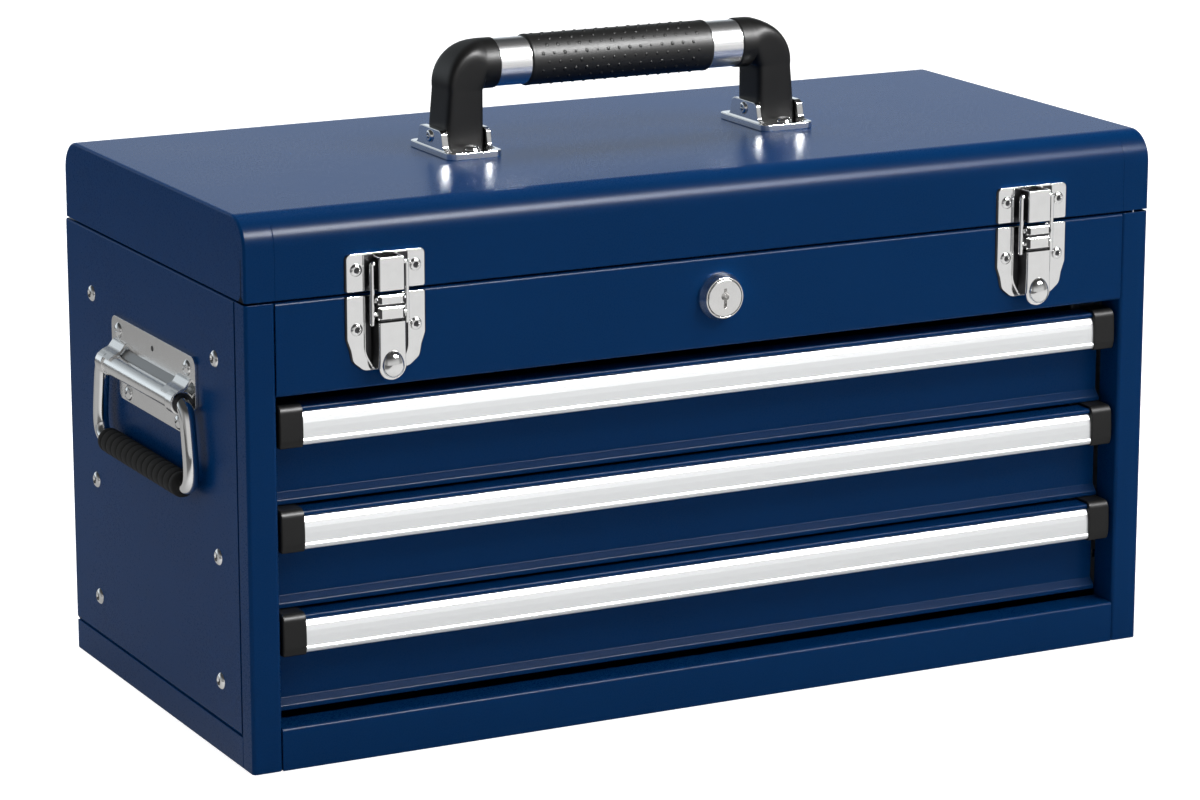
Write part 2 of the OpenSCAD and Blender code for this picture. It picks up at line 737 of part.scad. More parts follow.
module handle_grip() {
    x = grip_len / 2;
    r = tube_d / 2;
    color(black) translate([0, handle_y, tube_z]) rotate([0, 90, 0]) rotate_extrude()
        polygon([[r, -x], [r + 0.9, -x], [r + 1.2, -x + 1.2], [r + 1.2, x - 1.2], [r + 0.9, x], [r, x]]);
}

// ---- side handles: out is the distance from the side ------------------------------------------------

side_plate_t = 1.6;
side_axis_out = 6.8;
side_wire_r = 4;
side_barrel_r = 5.5;
side_grip_r = 6.6;
side_grip_z = 133.3;
side_plate_half = 57.4;
side_foot_half = 48;
side_head_r = 4.1;
web_half = 39;
side_leg_y = 62;
side_bend_r = 7.5;

module side_plate(s) {
    out = half_w + side_axis_out;
    half = side_barrel_len / 2;
    low = side_plate_z[0];
    high = side_plate_z[1];
    side = [[side_plate_half - 4, high], [side_plate_half, high - 4], [side_plate_half, side_handle_z - 2],
        [side_foot_half, side_handle_z - 8], [side_foot_half, low + 5], [side_foot_half - 5, low]];
    color(steel) on_side(s) difference() {
        translate([0, side_handle_y, 0]) union() {
            along_x(half_w, half_w + side_plate_t) polygon([each side,
                for (i = [len(side) - 1:-1:0]) [-side[i].x, side[i].y]]);
            rod_y(side_barrel_r, -half, half, out, side_handle_z);
            along_y(-web_half, web_half) polygon([[half_w + 0.5, side_handle_z + 8.2],
                [half_w + 0.5, side_handle_z + 6], [out - 3.6, side_handle_z + 3.4], [out - 0.8, side_handle_z + 5.2]]);
            both_sides_y() along_y(web_half + 3, half) polygon([[half_w + 0.5, side_handle_z + 11],
                [half_w + 0.5, side_handle_z + 8], [out - 3.6, side_handle_z + 3.4], [out + 2, side_handle_z + 4.6],
                [out + 1, side_handle_z + 6.4], [out - 2.4, side_handle_z + 8.8]]);
        }
        rod_y(side_wire_r + running, side_handle_y - half - 1, side_handle_y + half + 1, out, side_handle_z);
        for (p = side_screws) rod_x(side_screw_r, half_w - 1, half_w + 4, p.x, p.y);
        for (p = side_screws) rod_x(side_head_r + 0.1, half_w + side_plate_t, half_w + 6, p.x, p.y);
        rod_x(1.6, half_w - 1, half_w + 3, side_handle_y, side_plate_z[1] - 6.8);
    }
}

module side_plate_screws() {
    color(steel) both_sides() for (p = side_screws)
        translate([half_w + side_plate_t, p.x, p.y]) rotate([0, 90, 0]) rotate_extrude()
            polygon([[0, -side_plate_t - sheet], [side_screw_r, -side_plate_t - sheet], [side_screw_r, 0],
                     [side_head_r, 0], [side_head_r - 0.2, 0.9], [2.8, 1.7], [0, 1.9]]);
}

// One wire, drawn in Y and Z: through the barrel, down a leg at each end and across through the grip
module side_bail(s) {
    top = side_handle_z;
    color(steel) on_side(s) translate([half_w + side_axis_out, side_handle_y, 0]) rotate([90, 0, 90])
        wire([[0, top], [side_leg_y, top], [side_leg_y, side_grip_z], [-side_leg_y, side_grip_z],
              [-side_leg_y, top], [0, top]], side_bend_r, side_wire_r);
}

module side_grip(s) {
    half = 52;
    ribs = 13;
    rib = 2 * half / ribs;
    r = side_grip_r;
    color(black) on_side(s) translate([half_w + side_axis_out, side_handle_y, side_grip_z]) rotate([-90, 0, 0])
        rotate_extrude() polygon([[side_wire_r, -half],
            for (k = [0:ribs - 1]) each [[r - 0.8, -half + k * rib], [r, -half + k * rib + 1.4],
                                         [r, -half + (k + 1) * rib - 1.4]],
            [r - 0.8, half], [side_wire_r, half]]);
}

// ---- nodes ----------------------------------------------------------------------------------------

TOP = 2;
MIDDLE = 1;
BOTTOM = 0;

bottom_pan();
side_panel(-1);  // side_panel_left
side_panel(1);  // side_panel_right
back_panel();
post(-1);  // post_left
post(1);  // post_right
bottom_rail();
lock_panel();
till_tray();
slide_uprights();
slide_rails();
case_rivets();
hinge_leaf(-1, 0);  // hinge_body_leaf
hinge_pin();
lock_housing();
lock_nut();
latch_base(-1);  // latch_base_left
latch_base(1);  // latch_base_right
latch_pins();
side_plate(-1);  // side_plate_left
side_plate(1);  // side_plate_right
side_plate_screws();
lid_shell();
lid_end(-1);  // lid_end_left
lid_end(1);  // lid_end_right
hinge_leaf(1, 1);  // hinge_lid_leaf
latch_keepers();
keeper_rivets();
lock_strike();
handle_feet();
handle_screws();
handle_elbow(-1);  // handle_elbow_left
handle_elbow(1);  // handle_elbow_right
handle_tube();
handle_grip();
drawer_tray(TOP);  // drawer_tray_top
drawer_front(TOP);  // drawer_front_top
drawer_bar(TOP);  // drawer_bar_top
drawer_caps(TOP);  // drawer_caps_top
drawer_runners(TOP);  // drawer_runners_top
drawer_tray(MIDDLE);  // drawer_tray_middle
drawer_front(MIDDLE);  // drawer_front_middle
drawer_bar(MIDDLE);  // drawer_bar_middle
drawer_caps(MIDDLE);  // drawer_caps_middle
drawer_runners(MIDDLE);  // drawer_runners_middle
drawer_tray(BOTTOM);  // drawer_tray_bottom
drawer_front(BOTTOM);  // drawer_front_bottom
drawer_bar(BOTTOM);  // drawer_bar_bottom
drawer_caps(BOTTOM);  // drawer_caps_bottom
drawer_runners(BOTTOM);  // drawer_runners_bottom
latch_lever(-1);  // latch_lever_left
latch_lever(1);  // latch_lever_right
latch_bail(-1);  // latch_bail_left
latch_bail(1);  // latch_bail_right
side_bail(-1);  // side_bail_left
side_bail(1);  // side_bail_right
side_grip(-1);  // side_grip_left
side_grip(1);  // side_grip_right
lock_plug();
lock_cam();
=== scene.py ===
"""Portable steel tool box: three drawers, a lidded till, draw latches, a cam lock and three handles.

Sizes are in millimetres in this file and become metres when a mesh is made.
"""
import logging
import math
from collections.abc import Callable, Sequence
from dataclasses import dataclass
from enum import Enum

import bmesh
import bpy
from mathutils import Matrix, Vector


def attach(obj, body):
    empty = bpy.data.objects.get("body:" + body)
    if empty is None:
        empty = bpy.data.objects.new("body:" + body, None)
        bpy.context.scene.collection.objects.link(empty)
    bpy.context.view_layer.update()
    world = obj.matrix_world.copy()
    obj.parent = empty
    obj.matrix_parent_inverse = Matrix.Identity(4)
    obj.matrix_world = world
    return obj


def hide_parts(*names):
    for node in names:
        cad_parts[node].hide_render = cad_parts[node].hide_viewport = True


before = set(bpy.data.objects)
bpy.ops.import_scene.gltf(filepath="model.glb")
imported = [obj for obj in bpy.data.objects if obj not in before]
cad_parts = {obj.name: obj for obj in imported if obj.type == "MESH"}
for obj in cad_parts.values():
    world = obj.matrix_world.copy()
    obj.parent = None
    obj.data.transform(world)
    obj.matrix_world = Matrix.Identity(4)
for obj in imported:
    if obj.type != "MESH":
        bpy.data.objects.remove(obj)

LOG = logging.getLogger("tool_box")
MM = 0.001
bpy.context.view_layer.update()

Pair = tuple[float, float]
Triple = tuple[float, float, float]
Place = Callable[[float, float, float], Vector]
Seat = tuple[Triple, Triple]

HALF_WIDTH = 260.0
FRONT = -122.5
BACK = 122.5
LID_BOTTOM = 238.2
LID_TOP = 279.5
SHEET = 1.0
LATCH_X = 186.0
LATCH_PLATE = 1.2
MERGE = 2e-6
SHARP = math.radians(50.0)


class Side(Enum):
    """The two ends of the box."""

    LEFT = -1
    RIGHT = 1

    @property
    def tag(self) -> str:
        """The ending that this side's nodes and pieces carry."""
        return self.name.lower()


class Slot(Enum):
    """The record's material slots."""

    PAINT = "blue_paint"
    ZINC = "zinc_steel"
    CHROME = "bright_chrome"
    ALUMINIUM = "satin_aluminium"
    PLASTIC = "black_plastic"
    RUBBER = "black_rubber"


# ---- node trees ---------------------------------------------------------------------------------


class Signal:
    """One output of a node, with Python's arithmetic."""

    def __init__(self, graph: "Graph", socket: bpy.types.NodeSocket) -> None:
        """Keeps the tree and the output that this value comes from."""
        self.graph = graph
        self.socket = socket

    def math(self, operation: str, *values: "Signal | float") -> "Signal":
        """Adds a Math node.

        Args:
            operation: The Math node's operation.
            values: Its values in order.

        Returns:
            The node's result.
        """
        return self.graph.signal("ShaderNodeMath", {"operation": operation}, dict(enumerate(values)))

    def __add__(self, other: "Signal | float") -> "Signal":
        """self + other."""
        return self.math("ADD", self, other)

    __radd__ = __add__

    def __mul__(self, other: "Signal | float") -> "Signal":
        """self * other."""
        return self.math("MULTIPLY", self, other)

    __rmul__ = __mul__

    def __sub__(self, other: "Signal | float") -> "Signal":
        """self - other."""
        return self.math("SUBTRACT", self, other)

    def __rsub__(self, other: "Signal | float") -> "Signal":
        """other - self."""
        return self.math("SUBTRACT", other, self)

    def most(self, other: "Signal | float") -> "Signal":
        """The larger of the two values."""
        return self.math("MAXIMUM", self, other)

    def between(self, low: float, high: float) -> "Signal":
        """0 below low, 1 above high, and a smooth step from one to the other."""
        return self.graph.signal("ShaderNodeMapRange", {"interpolation_type": "SMOOTHSTEP"},
                                 {0: self, 1: low, 2: high})


class Graph:
    """A shader or Geometry Nodes tree that is filled node by node."""

    def __init__(self, tree: bpy.types.NodeTree) -> None:
        """Keeps the tree that the nodes go into."""
        self.tree = tree

    def add(self, kind: str, settings: dict | None = None, sockets: dict | None = None) -> bpy.types.Node:
        """Adds one node.

        Args:
            kind: The node's type.
            settings: Its properties, which are set first.
            sockets: Values or links of its inputs, by name or number.

        Returns:
            The node.
        """
        node = self.tree.nodes.new(kind)
        for name, value in (settings or {}).items():
            setattr(node, name, value)
        for key, value in (sockets or {}).items():
            self.feed(node.inputs[key], value)
        return node

    def feed(self, socket: bpy.types.NodeSocket, value: object) -> None:
        """Links a value to an input, or sets it there.

        Args:
            socket: The input.
            value: A Signal or socket to link, or a plain value.
        """
        value = value.socket if isinstance(value, Signal) else value
        if isinstance(value, bpy.types.NodeSocket):
            self.tree.links.new(value, socket)
        else:
            socket.default_value = value

    def signal(self, kind: str, settings: dict | None = None, sockets: dict | None = None,
               output: int | str = 0) -> Signal:
        """Adds a node and gives one of its outputs, with the arguments of add()."""
        return Signal(self, self.add(kind, settings, sockets).outputs[output])

    def noise(self, size: float, stretch: Triple = (1.0, 1.0, 1.0), detail: float = 2.0) -> Signal:
        """Noise over the object, from about 0 to 1.

        Args:
            size: Size of one feature in millimetres.
            stretch: How many times longer a feature is along X, Y and Z.
            detail: Octaves of finer noise.

        Returns:
            The noise's value.
        """
        place = self.signal("ShaderNodeTexCoord", output="Object")
        scale = tuple(1.0 / (size * MM * s) for s in stretch)
        mapped = self.signal("ShaderNodeMapping", sockets={"Vector": place, "Scale": scale})
        return self.signal("ShaderNodeTexNoise", sockets={"Vector": mapped, "Scale": 1.0, "Detail": detail})

    def bump(self, height: Signal, depth: float, strength: float = 1.0) -> Signal:
        """A normal that rises and falls with height.

        Args:
            height: The height, from 0 to 1.
            depth: What a height of 1 is, in millimetres.
            strength: Share of the bump that shows.

        Returns:
            The normal.
        """
        return self.signal("ShaderNodeBump", sockets={"Strength": strength, "Distance": depth * MM,
                                                      "Height": height})

    def mix(self, share: Signal, low: Triple, high: Triple) -> Signal:
        """A colour from low to high as share goes from 0 to 1."""
        node = self.add("ShaderNodeMix", {"data_type": "RGBA"},
                        {"Factor": share, 6: (*low, 1.0), 7: (*high, 1.0)})
        return Signal(self, node.outputs[2])


# ---- finishes -----------------------------------------------------------------------------------


def tint(colour: Triple, factor: float) -> Triple:
    """A colour made lighter or darker by a factor."""
    return tuple(min(1.0, c * factor) for c in colour)


@dataclass(frozen=True)
class Finish:
    """A finish: its name, the record's slot, and the shader's plain values."""

    name: str
    slot: Slot
    colour: Triple
    roughness: float
    metallic: float = 0.0
    specular: float = 0.5
    coat: float = 0.0

    def material(self) -> bpy.types.Material:
        """The finish as a material, which is made the first time it is asked for."""
        found = bpy.data.materials.get(self.name)
        if found:
            return found
        made = bpy.data.materials.new(self.name)
        made.use_nodes = True
        made.diffuse_color = (*self.colour, 1.0)
        made.node_tree.nodes.clear()
        graph = Graph(made.node_tree)
        shader = graph.add("ShaderNodeBsdfPrincipled", sockets={
            "Base Color": (*self.colour, 1.0), "Roughness": self.roughness, "Metallic": self.metallic,
            "Specular IOR Level": self.specular, "Coat Weight": self.coat, "Coat Roughness": 0.18})
        graph.add("ShaderNodeOutputMaterial", sockets={"Surface": shader.outputs[0]})
        self.detail(graph, shader.inputs)
        return made

    def detail(self, graph: Graph, inputs: bpy.types.bpy_prop_collection) -> None:
        """Links what changes over the surface.

        Args:
            graph: The material's tree.
            inputs: The shader's inputs.
        """


@dataclass(frozen=True)
class PowderCoat(Finish):
    """Semi-gloss powder coat: a faint orange peel, slightly uneven gloss and colour."""

    peel: float = 0.004

    def detail(self, graph: Graph, inputs: bpy.types.bpy_prop_collection) -> None:
        """Links orange peel, gloss and a slow drift of the colour."""
        cloud = graph.noise(90.0)
        grain = graph.noise(0.7, detail=1.0)
        graph.feed(inputs["Base Color"], graph.mix(cloud, tint(self.colour, 0.92), tint(self.colour, 1.08)))
        graph.feed(inputs["Roughness"], self.roughness - 0.03 + cloud * 0.03 + grain * 0.05)
        graph.feed(inputs["Normal"], graph.bump(graph.noise(1.8, detail=3.0) + grain * 0.3, self.peel))


@dataclass(frozen=True)
class PlatedSteel(Finish):
    """Polished plate over stamped steel: long soft ripples and faint dulled patches."""

    ripple: float = 0.006

    def detail(self, graph: Graph, inputs: bpy.types.bpy_prop_collection) -> None:
        """Links the ripples of the stamping and the uneven polish."""
        patch = graph.noise(5.0, detail=3.0)
        fine = graph.noise(0.5)
        graph.feed(inputs["Base Color"], graph.mix(patch, tint(self.colour, 0.94), tint(self.colour, 1.04)))
        graph.feed(inputs["Roughness"], self.roughness - 0.02 + patch.between(0.3, 0.8) * 0.05 + fine * 0.02)
        graph.feed(inputs["Normal"], graph.bump(graph.noise(6.0), self.ripple))


@dataclass(frozen=True)
class Brushed(Finish):
    """Metal brushed along X: fine straight lines in its gloss, its colour and its surface."""

    line: float = 0.0009

    def detail(self, graph: Graph, inputs: bpy.types.bpy_prop_collection) -> None:
        """Links the brush lines and slow bands along them."""
        lines = graph.noise(0.22, stretch=(300.0, 1.0, 1.0), detail=3.0)
        band = graph.noise(1.6, stretch=(120.0, 1.0, 1.0))
        share = lines * 0.6 + band * 0.4
        graph.feed(inputs["Base Color"], graph.mix(share.between(0.3, 0.7), tint(self.colour, 0.9),
                                                   tint(self.colour, 1.06)))
        graph.feed(inputs["Roughness"], self.roughness - 0.06 + share * 0.14)
        graph.feed(inputs["Normal"], graph.bump(lines, self.line))


@dataclass(frozen=True)
class ZincSheet(Finish):
    """Bright zinc on sheet steel: small spangles of unequal shine."""

    def detail(self, graph: Graph, inputs: bpy.types.bpy_prop_collection) -> None:
        """Links the spangles."""
        place = graph.signal("ShaderNodeTexCoord", output="Object")
        cell = graph.signal("ShaderNodeTexVoronoi", sockets={"Vector": place, "Scale": 260.0}, output="Color")
        grey = graph.signal("ShaderNodeRGBToBW", sockets={0: cell})
        graph.feed(inputs["Base Color"], graph.mix(grey, tint(self.colour, 0.88), tint(self.colour, 1.1)))
        graph.feed(inputs["Roughness"], self.roughness - 0.05 + grey * 0.12)
        graph.feed(inputs["Normal"], graph.bump(graph.noise(2.0), 0.004))


@dataclass(frozen=True)
class Moulded(Finish):
    """Moulded plastic or rubber: an even fine grain, and scattered lighter, rougher worn patches."""

    grain: float = 0.02
    grain_size: float = 0.45

    def detail(self, graph: Graph, inputs: bpy.types.bpy_prop_collection) -> None:
        """Links the grain and the worn patches."""
        grain = graph.noise(self.grain_size, detail=2.0)
        worn = graph.noise(14.0, detail=3.0)
        graph.feed(inputs["Base Color"], graph.mix(worn, tint(self.colour, 0.85), tint(self.colour, 1.2)))
        graph.feed(inputs["Roughness"], self.roughness - 0.05 + worn * 0.07 + grain * 0.04)
        graph.feed(inputs["Normal"], graph.bump(grain, self.grain))


PAINT = PowderCoat("navy_powder_coat", Slot.PAINT, (0.0004, 0.032, 0.124), 0.27, specular=0.055)
CHROME = PlatedSteel("polished_plate", Slot.CHROME, (0.88, 0.88, 0.875), 0.09, metallic=1.0, ripple=0.004)
SATIN_PLATE = PlatedSteel("satin_plate", Slot.CHROME, (0.92, 0.915, 0.905), 0.22, metallic=1.0, ripple=0.002)
SATIN_LOCK = PlatedSteel("lock_plate", Slot.CHROME, (0.8, 0.795, 0.785), 0.18, metallic=1.0, ripple=0.002)
# Near-black plate that stands for painted shade in channels, hollows, bores and side walls that lie in shade.
PAINTED_SHADE = PlatedSteel("dulled_recess", Slot.CHROME, (0.055, 0.055, 0.058), 0.3, metallic=1.0, ripple=0.002)
SHADOW = PowderCoat("joint_shadow", Slot.PAINT, (0.0003, 0.0025, 0.008), 0.5, specular=0.05)
# Grey plate that stands for painted shade on the web under the side handles' barrels.
WEB = PlatedSteel("shaded_web", Slot.CHROME, (0.4, 0.4, 0.4), 0.3, metallic=1.0, ripple=0.002)
ZINC = ZincSheet("bright_zinc", Slot.ZINC, (0.4, 0.41, 0.43), 0.45, metallic=1.0)
ALUMINIUM = Brushed("satin_aluminium", Slot.ALUMINIUM, (0.7, 0.7, 0.7), 0.11, metallic=1.0)
BRIGHT_TUBE = Brushed("bright_tube", Slot.ALUMINIUM, (0.86, 0.86, 0.865), 0.24, metallic=1.0, line=0.0001)
PLASTIC = Moulded("black_moulding", Slot.PLASTIC, (0.0062, 0.0061, 0.006), 0.42, specular=0.24)
RUBBER = Moulded("black_rubber", Slot.RUBBER, (0.0085, 0.0083, 0.008), 0.56, specular=0.35, grain=0.03)
GRIP_RUBBER = Moulded("grip_rubber", Slot.RUBBER, (0.0065, 0.0064, 0.0062), 0.44, specular=0.35, grain=0.015)


# ---- outlines, in millimetres -------------------------------------------------------------------


def arc(centre: Pair, radius: float, start: float, stop: float, steps: int) -> list[Pair]:
    """Points on an arc.

    Args:
        centre: The arc's centre.
        radius: Its radius.
        start: Angle of the first point in degrees.
        stop: Angle of the last point.
        steps: Number of chords.

    Returns:
        steps + 1 points.
    """
    turns = [math.radians(start + (stop - start) * i / steps) for i in range(steps + 1)]
    return [(centre[0] + radius * math.cos(t), centre[1] + radius * math.sin(t)) for t in turns]


def eased(corners: Sequence[tuple[float, float, float]], closed: bool = True, steps: int = 5) -> list[Pair]:
    """Rounds the corners of a line or outline.

    Args:
        corners: Points as (a, b, radius); a radius of 0 leaves a corner sharp.
        closed: Whether the last point joins the first.
        steps: Chords in each rounded corner.

    Returns:
        The rounded line's points.
    """
    out: list[Pair] = []
    count = len(corners)
    for i, (a, b, radius) in enumerate(corners):
        here = Vector((a, b))
        if radius <= 0 or (not closed and i in (0, count - 1)):
            out.append((a, b))
            continue
        before, after = Vector(corners[i - 1][:2]) - here, Vector(corners[(i + 1) % count][:2]) - here
        u, v = before.normalized(), after.normalized()
        half = math.acos(max(-1.0, min(1.0, u.dot(v)))) / 2
        if half > math.radians(88):
            out.append((a, b))
            continue
        reach = min(radius / math.tan(half), 0.49 * before.length, 0.49 * after.length)
        middle = here + (u + v).normalized() * reach / math.cos(half)
        first, last = here + u * reach - middle, here + v * reach - middle
        sweep = math.atan2(first.x * last.y - first.y * last.x, first.dot(last))
        start = math.atan2(first.y, first.x)
        out += arc(tuple(middle), first.length, math.degrees(start), math.degrees(start + sweep), steps)
    return out


def mirrored(half: Sequence[Triple]) -> list[Triple]:
    """An outline's half as (a, b, radius), followed by its mirror image across a = 0."""
    return [*half, *[(-a, b, radius) for a, b, radius in reversed(half)]]


def ribbon(line: Sequence[Pair], thickness: float) -> list[Pair]:
    """The closed outline of a sheet that follows a line, with half its thickness on each side."""
    points = [Vector(p) for p in line]
    sides = []
    for i, point in enumerate(points):
        ahead = (points[min(i + 1, len(points) - 1)] - point) if i < len(points) - 1 else None
        behind = (point - points[i - 1]) if i else None
        a = (behind or ahead).normalized()
        b = (ahead or behind).normalized()
        na, nb = Vector((-a.y, a.x)), Vector((-b.y, b.x))
        sides.append((na + nb) / (1 + na.dot(nb)) * thickness / 2)
    return ([tuple(p + s) for p, s in zip(points, sides)]
            + [tuple(p - s) for p, s in reversed(list(zip(points, sides)))])


def smooth_path(points: Sequence[Triple], steps: int = 6) -> list[Vector]:
    """A Catmull-Rom curve through points.

    Args:
        points: Points that the curve passes.
        steps: Chords between two of them.

    Returns:
        The curve's points.
    """
    p = [Vector(points[0]), *[Vector(q) for q in points], Vector(points[-1])]
    out = []
    for i in range(1, len(p) - 2):
        for k in range(steps):
            t = k / steps
            out.append(0.5 * ((2 * p[i]) + (p[i + 1] - p[i - 1]) * t
                              + (2 * p[i - 1] - 5 * p[i] + 4 * p[i + 1] - p[i + 2]) * t * t
                              + (3 * p[i] - p[i - 1] - 3 * p[i + 1] + p[i + 2]) * t ** 3))
    return out + [p[-1]]


# ---- shapes -------------------------------------------------------------------------------------


class Shape:
    """Points in millimetres and faces, gathered before they become a mesh."""

    def __init__(self) -> None:
        """Starts with nothing."""
        self.points: list[Vector] = []
        self.faces: list[tuple[int, ...]] = []

    def mesh(self, name: str) -> bpy.types.Mesh:
        """The shape as a mesh in metres."""
        mesh = bpy.data.meshes.new(name)
        mesh.from_pydata([p * MM for p in self.points], [], self.faces)
        return mesh

    def skin(self, rings: Sequence[Sequence[Vector]], ends: bool = True, looped: bool = False) -> "Shape":
        """Joins closed rings of equally many points.

        Args:
            rings: The rings in order.
            ends: Whether the first and last ring are filled.
            looped: Whether the last ring joins the first.

        Returns:
            The shape itself.
        """
        base, count = len(self.points), len(rings[0])
        for ring in rings:
            self.points += [Vector(p) for p in ring]
        for r in range(len(rings) if looped else len(rings) - 1):
            a, b = base + r * count, base + (r + 1) % len(rings) * count
            for i in range(count):
                j = (i + 1) % count
                self.faces.append((a + i, a + j, b + j, b + i))
        if ends and not looped:
            last = base + (len(rings) - 1) * count
            self.faces.append(tuple(range(base + count - 1, base - 1, -1)))
            self.faces.append(tuple(range(last, last + count)))
        return self

    def prism(self, outline: Sequence[Pair], place: Place, low: float, high: float) -> "Shape":
        """Pulls an outline along a third direction.

        Args:
            outline: The outline's points.
            place: Puts (a, b, c) in space, where c runs along the pull.
            low: Where the pull starts.
            high: Where it ends.

        Returns:
            The shape itself.
        """
        return self.skin([[place(a, b, c) for a, b in outline] for c in (low, high)])

    def lathe(self, profile: Sequence[Pair], place: Place, sides: int = 32, looped: bool = False) -> "Shape":
        """Turns a profile round an axis.

        Args:
            profile: Points as (radius, distance along the axis).
            place: Puts (a, b, c) in space, where c runs along the axis.
            sides: Number of sides.
            looped: Whether the profile closes on itself, as a ring's does.

        Returns:
            The shape itself.
        """
        turns = [math.tau * i / sides for i in range(sides)]
        return self.skin([[place(r * math.cos(t), r * math.sin(t), h) for t in turns] for r, h in profile],
                         ends=not looped, looped=looped)

    def tube(self, path: Sequence[Vector], radius: float, sides: int = 20) -> "Shape":
        """A round wire along a path, with eased ends.

        Args:
            path: Points along the middle.
            radius: The wire's radius.
            sides: Number of sides.

        Returns:
            The shape itself.
        """
        path = [Vector(p) for p in path]
        heads = [(path[min(i + 1, len(path) - 1)] - path[max(i - 1, 0)]).normalized() for i in range(len(path))]
        across = heads[0].orthogonal().normalized()
        rings = []
        for i, (point, head) in enumerate(zip(path, heads)):
            across = (across - head * across.dot(head)).normalized()
            up = head.cross(across)
            shares = [(1.0, 0.0)]
            if i in (0, len(path) - 1):
                shares = [(0.55, 0.42), (0.86, 0.22), (1.0, 0.0)]
                shares = shares if i == 0 else [(s, -b) for s, b in reversed(shares)]
            for share, back in shares:
                rings.append([point - head * back * radius
                              + (across * math.cos(t) + up * math.sin(t)) * radius * share
                              for t in (math.tau * k / sides for k in range(sides))])
        return self.skin(rings)


@dataclass(frozen=True)
class Make:
    """How a shape becomes a piece: what it is called, what carries it, its finish and its edges."""

    name: str
    body: str
    finish: Finish
    replaces: tuple[str, ...] = ()
    bevel: float = 0.3
    segments: int = 2
    angle: float = 30.0

    def from_shape(self, shape: Shape) -> bpy.types.Object:
        """Makes the piece from a shape in millimetres."""
        return self.from_mesh(shape.mesh(self.name))

    def from_node(self, node: str, fit: Callable[[Vector], Vector] | None = None) -> bpy.types.Object:
        """Makes the piece from a copy of a CAD node's mesh, merged and with flat faces whole.

        Args:
            node: The CAD node.
            fit: Moves one corner of the copy, in metres, or None.

        Returns:
            The finished piece.
        """
        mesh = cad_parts[node].data.copy()
        mesh.materials.clear()
        work = bmesh.new()
        work.from_mesh(mesh)
        bmesh.ops.remove_doubles(work, verts=work.verts, dist=MERGE)
        for vertex in work.verts if fit else ():
            vertex.co = fit(vertex.co)
        bmesh.ops.dissolve_limit(work, angle_limit=math.radians(0.4), verts=work.verts, edges=work.edges)
        work.to_mesh(mesh)
        work.free()
        return self.from_mesh(mesh)

    def from_mesh(self, mesh: bpy.types.Mesh) -> bpy.types.Object:
        """Merges, turns outwards, bevels and shades a mesh, and hands it to its body.

        Args:
            mesh: The mesh in metres.

        Returns:
            The finished piece.
        """
        thing = linked(self.name, settled(mesh))
        mesh.shade_smooth()
        self.ease(thing, "MITER_ARC")
        weigh = thing.modifiers.new("weigh", "WEIGHTED_NORMAL")
        weigh.keep_sharp = True
        bake(thing)
        return self.dress(thing)

    def ease(self, thing: bpy.types.Object, miter: str = "MITER_SHARP") -> None:
        """Bevels an object's edges and marks those that stay sharp.

        Args:
            thing: The object.
            miter: How bevels meet at an outer corner.
        """
        if self.bevel:
            edge = thing.modifiers.new("edge", "BEVEL")
            edge.width, edge.segments = self.bevel * MM, self.segments
            edge.limit_method, edge.angle_limit = "ANGLE", math.radians(self.angle)
            edge.miter_outer = miter
            bake(thing)
        thing.data.set_sharp_from_angle(angle=SHARP)

    def item(self, shape: Shape) -> bpy.types.Object:
        """A bevelled, smooth object of a shape, which rides on nothing, for a Geometry Nodes tree."""
        mesh = settled(shape.mesh("item"))
        mesh.shade_smooth()
        thing = linked("item", mesh)
        self.ease(thing)
        return thing

    def dress(self, thing: bpy.types.Object) -> bpy.types.Object:
        """Gives a plain mesh its finish and its body.

        Args:
            thing: The piece at the origin, its place in its mesh.

        Returns:
            The piece.
        """
        thing.name = self.name
        thing.data.name = self.name
        thing.data.materials.clear()
        thing.data.materials.append(self.finish.material())
        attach(thing, self.body)
        if self.replaces:
            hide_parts(*self.replaces)
        LOG.info("%s: %d faces on %s", self.name, len(thing.data.polygons), self.body)
        return thing


def linked(name: str, data: bpy.types.ID) -> bpy.types.Object:
    """A new object of some data, in the scene."""
    thing = bpy.data.objects.new(name, data)
    bpy.context.scene.collection.objects.link(thing)
    return thing


def settled(mesh: bpy.types.Mesh) -> bpy.types.Mesh:
    """The same mesh with its doubles merged and its faces turned outwards."""
    work = bmesh.new()
    work.from_mesh(mesh)
    bmesh.ops.remove_doubles(work, verts=work.verts, dist=MERGE)
    bmesh.ops.recalc_face_normals(work, faces=work.faces)
    work.to_mesh(mesh)
    work.free()
    return mesh


def bake(thing: bpy.types.Object) -> None:
    """Turns an object's modifiers into plain mesh."""
    graph = bpy.context.evaluated_depsgraph_get()
    plain = bpy.data.meshes.new_from_object(thing.evaluated_get(graph), preserve_all_data_layers=True,
                                            depsgraph=graph)
    thing.modifiers.clear()
    thing.data = plain


def carved(shape: Shape, cutter: Shape) -> Shape:
    """Cuts one closed shape out of another.

    Args:
        shape: What is left after the cut.
        cutter: What is taken away.

    Returns:
        The cut shape.
    """
    things = [linked("cut", settled(part.mesh("cut"))) for part in (shape, cutter)]
    cut = things[0].modifiers.new("cut", "BOOLEAN")
    cut.operation, cut.object, cut.solver = "DIFFERENCE", things[1], "EXACT"
    bake(things[0])
    out = Shape()
    out.points = [v.co / MM for v in things[0].data.vertices]
    out.faces = [tuple(p.vertices) for p in things[0].data.polygons]
    for thing in things:
        bpy.data.objects.remove(thing)
    return out


# ---- Geometry Nodes: heads on seats, and rows ------------------------------------------------------


